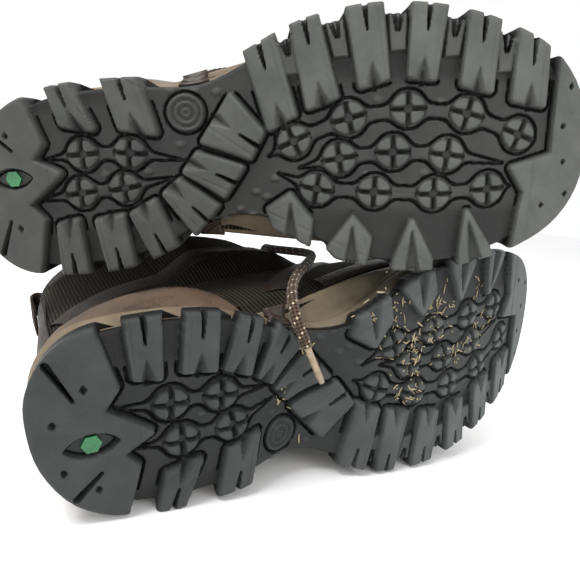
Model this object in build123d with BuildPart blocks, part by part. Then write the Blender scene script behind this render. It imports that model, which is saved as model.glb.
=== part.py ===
from build123d import *
import math
import os

# A pair of mid-height hiking boots. The left boot lies on its outer side on the floor, and the
# right boot lies across it with its inner side down. Every piece is drawn once, for the right
# boot, in the boot's own frame: X from heel to toe, Y towards the inner (medial) side, Z up from
# the ground. The left boot is the mirror image. Millimetres.

# ---------------------------------------------------------------- driving dimensions
LUG_DEPTH = 4.5            # height of the tread blocks over the sole plate
PLATE_TOP = 9.5            # top of the rubber sole plate over the tread face
TOE_SPRING = 0.0020        # curvature that lifts the toe off the ground, 1/mm
TOE_SPRING_START = 184.0
ARCH_CENTRE = 128.0
ARCH_HALF_LENGTH = 38.0
ARCH_RISE = 8.8
PANEL = 3.0                # thickness of the outer panels with their stiffeners
LAYER = 1.7                # leather overlay; the stiffener takes the rest of the panel
LINING = 1.3
LACE_DIAMETER = 5.0
AGLET_DIAMETER = 3.4
GAP = 0.6                  # air between the tongue and the lining
THROAT_HALF_WIDTH = 15.0
EYE_HEIGHTS = (101.0, 111.0, 121.0)
HOOK_HEIGHTS = (133.0, 146.0, 158.0)

# Place of each boot in the row frame: origin, heel-to-toe axis, leg axis.
RIGHT_ORIGIN = (-167.04, -41.26, 120.51)
RIGHT_TOE_AXIS = (0.9741, -0.1129, 0.1963)
RIGHT_LEG_AXIS = (0.0898, 0.9884, 0.1228)
LEFT_ORIGIN = (-93.54, -134.27, 30.15)
LEFT_TOE_AXIS = (0.8707, 0.4658, 0.1577)
LEFT_LEG_AXIS = (-0.4773, 0.8778, 0.0419)

# ---------------------------------------------------------------- shape formulas


def smooth(t):
    t = min(1.0, max(0.0, t))
    return t * t * (3 - 2 * t)


def between(x, table):
    """Straight-line reading of a short table of (x, value) pairs."""
    for (x0, v0), (x1, v1) in zip(table, table[1:]):
        if x <= x1:
            return v0 + (v1 - v0) * max(0.0, (x - x0) / (x1 - x0))
    return table[-1][1]


def tread(x):
    """Height of the tread face: raised under the arch and turned up at the toe."""
    arch = ARCH_RISE * smooth(1 - abs(x - ARCH_CENTRE) / ARCH_HALF_LENGTH)
    return TOE_SPRING * max(0.0, x - TOE_SPRING_START) ** 2 + arch


FEATHER_LINE = [
    (0, 31), (30, 30), (75, 27), (105, 23), (130, 23), (165, 27), (200, 29), (240, 32), (275, 37), (312, 46),
]


def feather(x):
    """Height of the midsole's top, where the upper meets it."""
    return between(x, FEATHER_LINE)


SOLE_OUTLINE = [
    (10, 14), (12, 28), (20, 40), (34, 47), (60, 48.5), (86, 46), (108, 38), (128, 31), (146, 29.5),
    (162, 35), (182, 46), (206, 54), (236, 56), (264, 50), (286, 40), (299, 24), (303, 2), (298, -20),
    (284, -38), (262, -50), (236, -58), (206, -61), (176, -57.5), (150, -48), (124, -40), (96, -41),
    (66, -41), (42, -36), (24, -25), (13, -6),
]

# Height, back X, front X, half width at the heel, half width at the ball of the upper's sections.
UPPER_SECTIONS = [
    (18, 20, 286, 35, 47), (40, 18, 293, 37.5, 50), (56, 19, 294, 37.5, 48.5), (70, 20, 284, 36.5, 44),
    (82, 21, 256, 35.5, 39.5), (95, 22, 226, 35, 36), (110, 24, 201, 36, 35), (128, 26, 181, 38.5, 38),
    (148, 27, 169, 41.5, 41), (170, 28, 164, 43.5, 42),
]


def upper_section(z):
    """Back X, front X and the two half widths of the upper at height z."""
    return [between(z, [(row[0], row[k]) for row in UPPER_SECTIONS]) for k in (1, 2, 3, 4)]


def centre_line(x):
    return -3 + 7 * ((x - 150) / 150) ** 2


def upper_point(z, angle, inset=0.0):
    """A point of the upper's section at height z. Angle 0 is the heel, 180 degrees the toe."""
    back, front, heel_half, ball_half = upper_section(z)
    along = (1 - math.cos(angle)) / 2
    x = back + inset + (front - back - 2 * inset) * along
    half = heel_half + (ball_half - heel_half) * smooth((along - 0.3) / 0.4) - inset
    side = math.sin(angle)
    return x, centre_line(x) + half * math.copysign(abs(side) ** 0.75, side)


def front_x(z, y_offset, inset=0.0):
    """X of the upper's front surface at height z, y_offset to the side of the centre line."""
    low, high = math.pi / 2, math.pi
    for _ in range(40):
        middle = (low + high) / 2
        x, y = upper_point(z, middle, inset)
        if y - centre_line(x) > abs(y_offset):
            low = middle
        else:
            high = middle
    return upper_point(z, low, inset)[0]


# ---------------------------------------------------------------- shared construction solids

REACH = 90.0               # half width of the long cutting profiles
ARCH_CORNERS = [(98, 0), (121, ARCH_RISE), (135, ARCH_RISE), (158, 0)]
PROFILE_END = 312


def tread_profile(lift):
    """The tread face in side view, raised by lift: flat heel, arch, flat ball, toe arc."""
    corners = [(0, lift)] + [(x, z + lift) for x, z in ARCH_CORNERS] + [(TOE_SPRING_START, lift)]
    flat = FilletPolyline(*corners, radius=16)
    rise = tread(PROFILE_END) + lift
    toe = TangentArc(flat @ 1, (PROFILE_END, rise), tangent=(1, 0))
    return flat, toe


def tread_band(low, high):
    """The layer between two heights over the tread face, pushed across the whole boot."""
    with BuildPart() as slab:
        with BuildSketch(Plane.XZ):
            with BuildLine():
                tread_profile(low)
                tread_profile(high)
                Line((0, low), (0, high))
                Line((PROFILE_END, tread(PROFILE_END) + low), (PROFILE_END, tread(PROFILE_END) + high))
            make_face()
        extrude(amount=REACH, both=True)
    return slab.part


def feather_band(low, high):
    """The layer between two heights over the midsole's top line, pushed across the whole boot."""
    with BuildPart() as slab:
        with BuildSketch(Plane.XZ):
            with BuildLine():
                lower = [(x, z + low) for x, z in FEATHER_LINE]
                upper = [(x, z + high) for x, z in FEATHER_LINE[::-1]]
                Polyline(*lower, *upper, close=True)
            make_face()
        extrude(amount=REACH, both=True)
    return slab.part


def midsole_band():
    """From the top of the rubber plate to the midsole's top line."""
    with BuildPart() as slab:
        with BuildSketch(Plane.XZ):
            with BuildLine():
                tread_profile(PLATE_TOP)
                Polyline((0, PLATE_TOP), *FEATHER_LINE, (PROFILE_END, tread(PROFILE_END) + PLATE_TOP))
            make_face()
        extrude(amount=REACH, both=True)
    return slab.part


def sole_outline(inset):
    """The sole's plan points, moved inwards square to the outline."""
    moved = []
    count = len(SOLE_OUTLINE)
    for i, (x, y) in enumerate(SOLE_OUTLINE):
        x0, y0 = SOLE_OUTLINE[i - 1]
        x1, y1 = SOLE_OUTLINE[(i + 1) % count]
        length = math.hypot(x1 - x0, y1 - y0)
        moved.append((x + inset * (y1 - y0) / length, y - inset * (x1 - x0) / length))
    return moved


def footprint(inset, height=80.0):
    """The sole's plan shape, pushed straight up."""
    with BuildPart() as block:
        with BuildSketch(Plane.XY.offset(-5)):
            with BuildLine():
                Spline(*sole_outline(inset), periodic=True)
            make_face()
        extrude(amount=height)
    return block.part


def upper_form(inset):
    """The upper as one closed form, lofted through its sections and inset all round."""
    with BuildPart() as form:
        for z, *_ in UPPER_SECTIONS:
            ring = [upper_point(z, math.radians(a), inset) for a in range(0, 360, 24)]
            with BuildSketch(Plane.XY.offset(z)):
                with BuildLine():
                    Spline(*ring, periodic=True)
                make_face()
        loft()
    return form.part


def side_prism(points, near=-REACH, far=REACH):
    """A region drawn in side view (X, Z) and pushed from Y = near to Y = far."""
    with BuildPart() as prism:
        with BuildSketch(Plane.XZ.offset(-near)):
            with BuildLine():
                Polyline(*points, close=True)
            make_face()
        extrude(amount=-(far - near))
    return prism.part


def overlap(first, *others):
    with BuildPart() as shared:
        add(first)
        for other in others:
            add(other, mode=Mode.INTERSECT)
    return shared.part


# ---------------------------------------------------------------- finished pieces are kept here

pieces = {}


def keep(name, part):
    pieces[name] = part


# ---------------------------------------------------------------- sole unit

# Tread blocks in plan: outer edge first, then the two inner corners.
SIDE_LUGS = [
    [(56, -39), (68, -40.5), (77, -19), (60, -22.5)], [(83, -41), (100, -40.5), (105, -15), (88, -19)],
    [(47.5, 47), (62, 48), (61, 21), (49.5, 23)], [(71.5, 47), (86, 45), (84, 20), (69, 22)],
    [(95, 42), (107, 37.5), (100, 14), (87, 20)], [(116, 34), (129, 20), (112, 5.5), (103.5, 12)],
    [(132, 16.5), (144, 2), (121, -6), (113.5, 3)], [(147, -1), (155, -13), (140, -31), (123, -10)],
    [(149, -45), (163, -52), (170, -19), (157, -13)], [(170, -55.5), (182, -58), (189, -25), (175, -21)],
    [(194, -60), (209, -60.5), (211, -31), (198, -28)],
    [(221.5, -59.5), (236, -57.5), (231, -29), (219, -31)],
    [(245.5, -54.5), (259, -50.5), (256, -22), (242, -26)],
    [(267.5, -46), (282, -38), (281, -14), (265, -18)],
]
POINTED_LUGS = [
    [(155, 31), (172, 41), (174, 28), (165, 15), (153, 22)],
    [(184, 47), (198, 51), (201, 38), (193, 27), (180, 42)],
    [(210, 54), (229, 55.5), (229, 50), (220, 30), (211, 49)],
    [(241, 54.5), (258, 51.5), (256, 46), (245, 28), (242, 45)],
]
HEEL_BLOCK = [
    (37, 47), (44, 21), (38, 13), (57, -1), (44, -8), (50, -15), (44, -36), (8, -36), (-2, 14), (8, 47),
]
TOE_BLOCK = [(288, -40), (286, -12), (285, 7), (265, 11), (272, 23), (266, 49), (310, 49), (310, -40)]
PODS = [
    (68, -9), (91, -8), (64, 9), (86, 8),
    (168, -8), (193, -16), (219, -18), (245, -14), (269, -3),
    (188, 1), (212, 0), (236, 3), (177, 14), (203, 17), (230, 20), (255, 20),
]
POD_RADIUS = 7.6
POD_SLOT = 1.6
SLIT_WIDTH = 1.8
GEM_CENTRE = (32, 0)
GEM_RADIUS = 4.0

with BuildPart() as lug_prisms:
    with BuildSketch(Plane.XY.offset(-5)):
        for corners in SIDE_LUGS + POINTED_LUGS + [HEEL_BLOCK, TOE_BLOCK]:
            with BuildLine():
                Polyline(*corners, close=True)
            make_face()
        for outer_a, outer_b, inner_a, inner_b in SIDE_LUGS:
            mouth = (Vector(*outer_a) + Vector(*outer_b)) / 2
            root = (Vector(*inner_a) + Vector(*inner_b)) / 2
            turn = math.degrees(math.atan2(root.Y - mouth.Y, root.X - mouth.X))
            with Locations(Location((mouth.X, mouth.Y, 0), (0, 0, turn))):
                Rectangle(18, SLIT_WIDTH, mode=Mode.SUBTRACT)
        with Locations(*PODS):
            Circle(POD_RADIUS)
            Rectangle(2 * POD_RADIUS, POD_SLOT, mode=Mode.SUBTRACT)
            Rectangle(POD_SLOT, 2 * POD_RADIUS, mode=Mode.SUBTRACT)
        with Locations(GEM_CENTRE):
            RegularPolygon(GEM_RADIUS + 0.05, 6, mode=Mode.SUBTRACT)
    extrude(amount=80)

with BuildPart() as outsole:
    add(footprint(0))
    add(tread_band(LUG_DEPTH, PLATE_TOP), mode=Mode.INTERSECT)
    add(overlap(footprint(0), lug_prisms.part, tread_band(0, LUG_DEPTH)))
keep("outsole", outsole.part)

with BuildPart() as heel_gem:
    with BuildSketch(Plane.XY.offset(1.2)):
        with Locations(GEM_CENTRE):
            RegularPolygon(GEM_RADIUS, 6)
    extrude(amount=LUG_DEPTH - 1.2)
keep("heel_gem", heel_gem.part)

SHANK_ENDS = (60, 215)
SHANK_HALF_WIDTH = 11.0
SHANK_THICKNESS = 1.4

with BuildPart() as shank:
    with BuildSketch(Plane.XY):
        with Locations(((SHANK_ENDS[0] + SHANK_ENDS[1]) / 2, -2)):
            SlotOverall(SHANK_ENDS[1] - SHANK_ENDS[0], 2 * SHANK_HALF_WIDTH)
    extrude(amount=80)
    add(feather_band(-SHANK_THICKNESS, 0), mode=Mode.INTERSECT)
keep("shank", shank.part)

ARCH_BLOCK_SIDE = [(117, 0), (127, 0), (124, 16), (128, 60), (114, 60), (120, 16)]

with BuildPart() as arch_block:
    add(footprint(1.5))
    add(midsole_band(), mode=Mode.INTERSECT)
    add(side_prism(ARCH_BLOCK_SIDE), mode=Mode.INTERSECT)
    add(shank.part, mode=Mode.SUBTRACT)
keep("arch_block", arch_block.part)

with BuildPart() as midsole:
    add(footprint(2.0))
    add(midsole_band(), mode=Mode.INTERSECT)
    add(side_prism(ARCH_BLOCK_SIDE), mode=Mode.SUBTRACT)
    add(shank.part, mode=Mode.SUBTRACT)
keep("midsole", midsole.part)

# ---------------------------------------------------------------- forms of the upper

BOARD = 2.2                # lasting board
FOOTBED = 5.0
skin = upper_form(0)
under_leather = upper_form(LAYER)
under_panel = upper_form(PANEL)
cavity = upper_form(PANEL + LINING)
above_feather = feather_band(0, 170)

for name, low, high, inset in (
    ("lasting_board", 0, BOARD, PANEL + LINING + 0.5),
    ("footbed", BOARD, BOARD + FOOTBED, PANEL + LINING + 1.0),
):
    with BuildPart() as board:
        add(upper_form(inset))
        add(feather_band(low, high), mode=Mode.INTERSECT)
    keep(name, board.part)

# ---------------------------------------------------------------- panels of the upper

TOE_CUT = [(262, 0), (250, 120), (330, 120), (330, 0)]
VAMP_CUT = [(262, 0), (250, 120), (206, 120), (190, 80), (176, 60), (172, 0)]
QUARTER_CUT = [(172, 0), (176, 60), (190, 80), (206, 120), (206, 190), (166, 168), (110, 164), (60, 156),
               (20, 152), (-10, 156), (-10, 0)]
COUNTER_CUT = [
    (-10, 0), (-10, 44), (14, 52), (32, 62), (50, 69), (68, 72), (86, 70), (100, 62), (107, 46), (110, 0),
]
THROAT = [(196, 84), (208, 190), (120, 190), (150, 130), (168, 108)]
throat = side_prism(THROAT, -THROAT_HALF_WIDTH - 3, THROAT_HALF_WIDTH - 3)


def panel(outer, inner, region, *removed):
    """A panel of the upper: the layer between two forms, inside a side-view region."""
    with BuildPart() as piece:
        add(outer)
        add(inner, mode=Mode.SUBTRACT)
        add(above_feather, mode=Mode.INTERSECT)
        add(region, mode=Mode.INTERSECT)
        for solid in removed:
            add(solid, mode=Mode.SUBTRACT)
    return piece.part


keep("toe_cap", panel(skin, under_leather, side_prism(TOE_CUT)))
keep("toe_puff", panel(under_leather, under_panel, side_prism(TOE_CUT)))
keep("vamp", panel(skin, under_panel, side_prism(VAMP_CUT), throat))
keep("heel_counter", panel(skin, under_leather, side_prism(COUNTER_CUT)))
keep("heel_stiffener", panel(under_leather, under_panel, side_prism(COUNTER_CUT)))
counter_region = side_prism(COUNTER_CUT)
keep("medial_quarter", panel(skin, under_panel, side_prism(QUARTER_CUT, 0, REACH), counter_region, throat))
keep("lateral_quarter", panel(skin, under_panel, side_prism(QUARTER_CUT, -REACH, 0), counter_region, throat))
LINING_CUT = [(330, 0), (330, 120), (206, 120), (206, 190), (166, 165), (110, 161), (60, 153), (20, 149),
              (-10, 153), (-10, 0)]
keep("lining", panel(under_panel, cavity, side_prism(LINING_CUT), throat))

COLLAR_CUT = [(-10, 138), (-10, 160), (20, 155), (60, 159), (110, 167), (126, 168.5), (122, 138)]
with BuildPart() as collar_pad:
    add(upper_form(PANEL + LINING + 0.4))
    add(upper_form(PANEL + LINING + 9), mode=Mode.SUBTRACT)
    add(side_prism(COLLAR_CUT), mode=Mode.INTERSECT)
keep("collar_pad", collar_pad.part)

TONGUE_CUT = [(207, 90), (213, 97), (190, 190), (128, 190), (138, 130), (158, 112), (190, 90)]
TONGUE_HALF_WIDTH = 22.0
with BuildPart() as tongue:
    add(upper_form(PANEL + LINING + GAP))
    add(upper_form(PANEL + LINING + GAP + 5), mode=Mode.SUBTRACT)
    add(side_prism(TONGUE_CUT, -TONGUE_HALF_WIDTH - 3, TONGUE_HALF_WIDTH - 3), mode=Mode.INTERSECT)
keep("tongue", tongue.part)

# ---------------------------------------------------------------- lace hardware and trims


EYE_OFFSET = THROAT_HALF_WIDTH + 5


def eye_frame(z, offset_y, out):
    """A frame over the front of the upper, offset_y to the side: its Z axis points straight out."""
    x = front_x(z, offset_y)
    slope_x = front_x(z + 4, offset_y) - front_x(z - 4, offset_y)
    normal = Vector(8, 0, -slope_x).normalized() + Vector(0, 0.55 * offset_y / EYE_OFFSET, 0)
    point = Vector(x, centre_line(x) + offset_y, z) + normal.normalized() * out
    return Plane(origin=point, x_dir=(0, 1, 0), z_dir=normal)


with BuildPart() as eyelets:
    for height in EYE_HEIGHTS:
        for side in (1, -1):
            with BuildSketch(eye_frame(height, side * EYE_OFFSET, -1.5)):
                Circle(4.2)
                Circle(2.0, mode=Mode.SUBTRACT)
            extrude(amount=3.0)
keep("eyelets", eyelets.part)

with BuildPart() as lace_hooks:
    for height in HOOK_HEIGHTS:
        for side in (1, -1):
            seat = eye_frame(height, side * EYE_OFFSET, -1.5)
            with BuildSketch(seat):
                Rectangle(5, 7)
            extrude(amount=3.2)
            with BuildSketch(seat.offset(3.2)):
                with Locations((0.0, 2.6)):
                    Rectangle(5, 1.8)
            extrude(amount=5.5)
            with BuildSketch(seat.offset(8.7)):
                Rectangle(5, 7)
            extrude(amount=1.4)
keep("lace_hooks", lace_hooks.part)


SHARE_OF_RUN = 0.45        # how much of the shorter run an arc may take


def route_radii(points):
    """The largest arc at each corner that 0.45 of its shorter run allows."""
    radii = []
    corners = [Vector(*p) for p in points]
    for before, corner, after in zip(corners, corners[1:], corners[2:]):
        turn = math.radians((corner - before).get_angle(after - corner))
        run = min((corner - before).length, (after - corner).length)
        radii.append(SHARE_OF_RUN * run / math.tan(turn / 2))
    return radii


LACE_HEIGHTS = EYE_HEIGHTS + HOOK_HEIGHTS
TURN = 3.0                 # runs end this far under the middle of an eye and start this far over it
UNDER_LIFT = 5.0           # of the strand that passes under at each crossing, from the panel's face
OVER_LIFT = UNDER_LIFT + LACE_DIAMETER + 1.4
SHOULDER = 11.0            # where a run bends over the front, to each side of the middle
KNOT_RADIUS = 6.0
KNOT_CLEARANCE = 0.5


def lace_point(z, offset_y, out):
    return eye_frame(z, offset_y, out).origin


def lace_run(*points):
    """One stretch of lace: straight runs joined by arcs as large as they allow."""
    with BuildPart() as run:
        with BuildLine():
            path = FilletPolyline(*points, radius=route_radii(points))
        with BuildSketch(Plane(origin=path @ 0, z_dir=path % 0)):
            Circle(LACE_DIAMETER / 2)
        sweep()
    return run.part, path.length


top_height = LACE_HEIGHTS[-1] + TURN
knot = lace_point(top_height + 6, 0, 3.5)
strands = []
for side in (1, -1):
    shoulder = lace_point(top_height + 2, side * SHOULDER, UNDER_LIFT)
    last = knot - (knot - shoulder).normalized() * (KNOT_RADIUS + KNOT_CLEARANCE)
    strands.append((lace_point(top_height, side * EYE_OFFSET, UNDER_LIFT), shoulder, last))
for first_side, lift in ((1, UNDER_LIFT), (-1, OVER_LIFT)):
    for step, (low, high) in enumerate(zip(LACE_HEIGHTS, LACE_HEIGHTS[1:])):
        side = first_side * (-1) ** step
        start, end = low + TURN, high - TURN
        rise = (end - start) / 4
        strands.append((
            lace_point(start, side * EYE_OFFSET, lift), lace_point(start + rise, side * SHOULDER, lift),
            lace_point(end - rise, -side * SHOULDER, lift), lace_point(end, -side * EYE_OFFSET, lift),
        ))

strand_parts = [lace_run(*strand)[0] for strand in strands]
with BuildPart() as lace:
    for strand_part in strand_parts:
        add(strand_part)
    with Locations(Location(knot)):
        Sphere(KNOT_RADIUS)
keep("lace", lace.part)

# The left boot's free lace end. It leaves the knot on the inner side, lies over the inner quarter
# and hangs over the edge of the sole. X, Y and Z are in the boot's own frame.
LACE_ROUTE = [
    (170, 4, 166), (176, 15, 160), (173.5, 28.5, 148), (168, 37, 132), (163, 40, 114), (164, 43.5, 92),
    (169, 46, 71), (158, 47.5, 54), (144, 47, 40), (132, 45.5, 26), (124, 43, 12), (122, 35, 2.5),
    (126, 23.5, 0.5),
]
AGLET_END = (134.5, 4.0, 0.5)
AGLET_GAP = 0.4
lace_end, lace_end_length = lace_run(*LACE_ROUTE)
lace_end_volume = math.pi * LACE_DIAMETER**2 / 4 * lace_end_length
print("lace end radii", [round(r, 1) for r in route_radii(LACE_ROUTE)])
print("lace end length", round(lace_end_length, 2))
print("volume over section times length", round(lace_end.volume / lace_end_volume, 5))

with BuildPart() as lace_aglet:
    tip = Vector(*AGLET_END)
    root = Vector(*LACE_ROUTE[-1])
    along = (tip - root).normalized()
    with BuildSketch(Plane(origin=root + along * AGLET_GAP, z_dir=along)):
        Circle(AGLET_DIAMETER / 2)
    extrude(amount=(tip - root).length - AGLET_GAP)

LOOP_WIDTH = 16.0
LOOP_OUTLINE = [
    (22.9, 140), (22.9, 172), (25.5, 177), (30.0, 177), (32.5, 172), (32.5, 164.5),
    (30.3, 164.5), (30.3, 171.4), (29.0, 174.5), (26.5, 174.5), (25.1, 171.4), (25.1, 140),
]
with BuildPart() as pull_loop:
    with BuildSketch(Plane.XZ.offset(-3)):
        with BuildLine():
            Polyline(*LOOP_OUTLINE, close=True)
        make_face()
    extrude(amount=LOOP_WIDTH / 2, both=True)
keep("pull_loop", pull_loop.part)

CENTRE_AT_HEEL = 3.0
STRAP_CUT = [(-10, 33), (29, 33), (26, 60), (27, 100), (30, 138), (-10, 138)]
with BuildPart() as heel_strap:
    add(upper_form(-1.6))
    add(upper_form(0.0), mode=Mode.SUBTRACT)
    add(side_prism(STRAP_CUT, CENTRE_AT_HEEL - 14, CENTRE_AT_HEEL + 14), mode=Mode.INTERSECT)
keep("heel_strap", heel_strap.part)

# ---------------------------------------------------------------- placing and writing

os.makedirs("parts", exist_ok=True)
PLACES = {
    "right": Plane(origin=RIGHT_ORIGIN, x_dir=RIGHT_TOE_AXIS, z_dir=RIGHT_LEG_AXIS).location,
    "left": Plane(origin=LEFT_ORIGIN, x_dir=LEFT_TOE_AXIS, z_dir=LEFT_LEG_AXIS).location,
}


def write(part, side, name):
    """Place a piece on its boot, mirrored for the left one, and write it."""
    shape = mirror(part, about=Plane.XZ) if side == "left" else part
    placed = shape.moved(PLACES[side])
    placed.label = side + "_" + name
    export_step(placed, "parts/" + placed.label + ".step")


for name, part in pieces.items():
    write(part, "right", name)
    write(part, "left", name)
write(lace_end, "left", "lace_end")
write(lace_aglet.part, "left", "lace_aglet")
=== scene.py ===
import math
import random

import bmesh
import bpy
import numpy as np
from mathutils import Matrix, Vector


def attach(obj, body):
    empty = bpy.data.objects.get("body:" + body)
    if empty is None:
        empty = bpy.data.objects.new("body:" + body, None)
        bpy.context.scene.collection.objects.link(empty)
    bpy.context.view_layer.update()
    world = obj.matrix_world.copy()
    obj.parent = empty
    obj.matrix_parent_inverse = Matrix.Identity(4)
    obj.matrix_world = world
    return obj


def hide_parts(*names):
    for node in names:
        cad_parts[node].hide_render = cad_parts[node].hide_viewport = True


# The pair of boots: each piece is drawn in its boot's own frame, in millimetres (X from heel to
# toe, Y towards the inner side, Z up from the ground), and placed by boot_matrix().

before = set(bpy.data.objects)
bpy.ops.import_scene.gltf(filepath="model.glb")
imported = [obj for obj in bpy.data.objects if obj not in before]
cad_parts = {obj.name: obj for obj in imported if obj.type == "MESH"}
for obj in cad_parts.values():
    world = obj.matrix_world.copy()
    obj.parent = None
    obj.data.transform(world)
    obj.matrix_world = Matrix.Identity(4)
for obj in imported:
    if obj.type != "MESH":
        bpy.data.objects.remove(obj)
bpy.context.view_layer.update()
random.seed(7)

MM = 0.001
SIDES = ("right", "left")
FLANKS = ((1, "inner"), (-1, "outer"))
PLACES = {
    "right": ((-167.04, -41.26, 120.51), (0.9741, -0.1129, 0.1963), (0.0898, 0.9884, 0.1228)),
    "left": ((-93.54, -134.27, 30.15), (0.8707, 0.4658, 0.1577), (-0.4773, 0.8778, 0.0419)),
}


def boot_axes(side):
    """Origin and the three axes of a boot's own frame. The left boot's Y axis is mirrored."""
    origin, toe, leg = (Vector(v) for v in PLACES[side])
    leg.normalize()
    toe = (toe - leg * toe.dot(leg)).normalized()
    inner = leg.cross(toe) * (1 if side == "right" else -1)
    return origin * MM, toe, inner, leg


def boot_matrix(side):
    origin, toe, inner, leg = boot_axes(side)
    turn = Matrix((toe, inner, leg)).transposed().to_4x4()
    return Matrix.Translation(origin) @ turn @ Matrix.Scale(MM, 4)


# ---------------------------------------------------------------- camera and the free lace end

CAMERA_PLACE = (-0.00413, -0.31789, 0.14470)
CAMERA_RIGHT = Vector((0.9909, 0.0, 0.1344))
CAMERA_UP = Vector((-0.1319, 0.1937, 0.9722))

camera_data = bpy.data.cameras.new("camera")
camera_data.lens = 34.76
camera_data.sensor_width = 36
camera_data.clip_start = 0.01
camera = bpy.data.objects.new("camera", camera_data)
camera_back = CAMERA_RIGHT.cross(CAMERA_UP).normalized()
camera.matrix_world = Matrix.Translation(CAMERA_PLACE) @ Matrix(
    (CAMERA_RIGHT, camera_back.cross(CAMERA_RIGHT), camera_back)).transposed().to_4x4()
bpy.context.scene.collection.objects.link(camera)
bpy.context.scene.camera = camera

LACE_RADIUS = 2.5
LACE_ROUTE = [
    (170, 4, 166), (176, 15, 160), (173.5, 28.5, 148), (168, 37, 132), (163, 40, 114), (164, 43.5, 92),
    (169, 46, 71), (158, 47.5, 54), (144, 47, 40), (132, 45.5, 26), (124, 43, 12), (122, 35, 2.5),
    (126, 23.5, 0.5),
]
AGLET_END = (134.5, 4.0, 0.5)


def smooth_path(points, samples=12):
    """Points of the quadratic NURBS spline that has these control points, in their own units."""
    curve = bpy.data.curves.new("path", "CURVE")
    curve.dimensions = "3D"
    spline = curve.splines.new("NURBS")
    spline.points.add(len(points) - 1)
    for slot, point in zip(spline.points, points):
        slot.co = (*point, 1.0)
    spline.order_u = 3
    spline.use_endpoint_u = True
    spline.resolution_u = samples
    holder = bpy.data.objects.new("path", curve)
    line = bpy.data.meshes.new_from_object(holder)
    found = [v.co.copy() for v in line.vertices]
    bpy.data.meshes.remove(line)
    bpy.data.objects.remove(holder)
    bpy.data.curves.remove(curve)
    return found


def resample(path, pitch):
    """The same line in even steps of about pitch, with the distance run at each point."""
    path = [Vector(p) for p in path]
    runs = [0.0]
    for a, b in zip(path, path[1:]):
        runs.append(runs[-1] + (b - a).length)
    count = max(2, round(runs[-1] / pitch))
    found = []
    index = 0
    for k in range(count + 1):
        want = runs[-1] * k / count
        while index < len(path) - 2 and runs[index + 1] < want:
            index += 1
        share = (want - runs[index]) / max(1e-9, runs[index + 1] - runs[index])
        found.append((path[index].lerp(path[index + 1], share), want))
    return found


# ---------------------------------------------------------------- mesh helpers


def place_mesh(mesh, side, sharp_degrees=None):
    """Moves a mesh drawn in the boot's frame onto its boot, smooth shaded, and shows it."""
    mesh.transform(boot_matrix(side))
    if side == "left":
        mesh.flip_normals()
    for polygon in mesh.polygons:
        polygon.use_smooth = True
    if sharp_degrees is not None:
        mesh.set_sharp_from_angle(angle=math.radians(sharp_degrees))
    piece = bpy.data.objects.new(mesh.name, mesh)
    bpy.context.scene.collection.objects.link(piece)
    return piece


def add_mesh(name, side, verts, faces):
    """A mesh piece from points and faces in the boot's frame. The left boot mirrors them."""
    mesh = bpy.data.meshes.new(name)
    mesh.from_pydata([tuple(v) for v in verts], [], faces)
    return place_mesh(mesh, side)


def finish_piece(piece, side, material, node=None, body="boot"):
    """Gives a piece its material, its body and the CAD node it stands for."""
    piece.data.materials.clear()
    piece.data.materials.append(MATERIALS[side][material])
    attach(piece, f"{side}_{body}")
    if node:
        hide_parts(f"{side}_{node}")
    return piece


def sheet_faces(rows, columns, closed=False):
    """Quads of a grid of points, row by row. Closed joins the last column to the first."""
    faces = []
    last = columns if closed else columns - 1
    for i in range(rows - 1):
        for j in range(last):
            k = (j + 1) % columns
            faces.append((i * columns + j, i * columns + k, (i + 1) * columns + k, (i + 1) * columns + j))
    return faces


def moved_faces(faces, base):
    """The same faces for points that start at index base."""
    return [tuple(base + v for v in face) for face in faces]


def end_faces(total, around):
    """The two faces that close a tube of total points with around points to a ring."""
    return [tuple(range(around))[::-1], tuple(range(total - around, total))]


def shell_faces(rows, columns):
    """Faces of a closed slab: a front grid, then a back grid, then the rim between them."""
    size = rows * columns
    front = sheet_faces(rows, columns)
    back = [face[::-1] for face in moved_faces(front, size)]
    rim = list(range(columns)) + [i * columns + columns - 1 for i in range(1, rows)]
    rim += [size - columns + j for j in range(columns - 2, -1, -1)]
    rim += [i * columns for i in range(rows - 2, 0, -1)]
    return front + back + [(b, a, size + a, size + b) for a, b in zip(rim, rim[1:] + rim[:1])]


def tube_mesh(path, radius_at, around=16):
    """Rings round a path; radius_at(distance, turn) gives the radius. Returns points, faces and UVs."""
    verts, uv = [], []
    normal = None
    for k, (point, run) in enumerate(path):
        before = path[max(0, k - 1)][0]
        after = path[min(len(path) - 1, k + 1)][0]
        along = (after - before).normalized()
        if normal is None:
            normal = along.orthogonal().normalized()
        normal = (normal - along * normal.dot(along)).normalized()
        across = along.cross(normal)
        for j in range(around):
            turn = 2 * math.pi * j / around
            radius = radius_at(run, turn)
            verts.append(point + (normal * math.cos(turn) + across * math.sin(turn)) * radius)
    faces = sheet_faces(len(path), around, closed=True)
    for i in range(len(path) - 1):
        for j in range(around):
            low, high = path[i][1], path[i + 1][1]
            left, right = j / around, (j + 1) / around
            uv.extend([(left, low), (right, low), (right, high), (left, high)])
    faces += end_faces(len(verts), around)
    uv.extend([(0, 0)] * around)
    uv.extend([(0, path[-1][1])] * around)
    return verts, faces, uv


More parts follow.
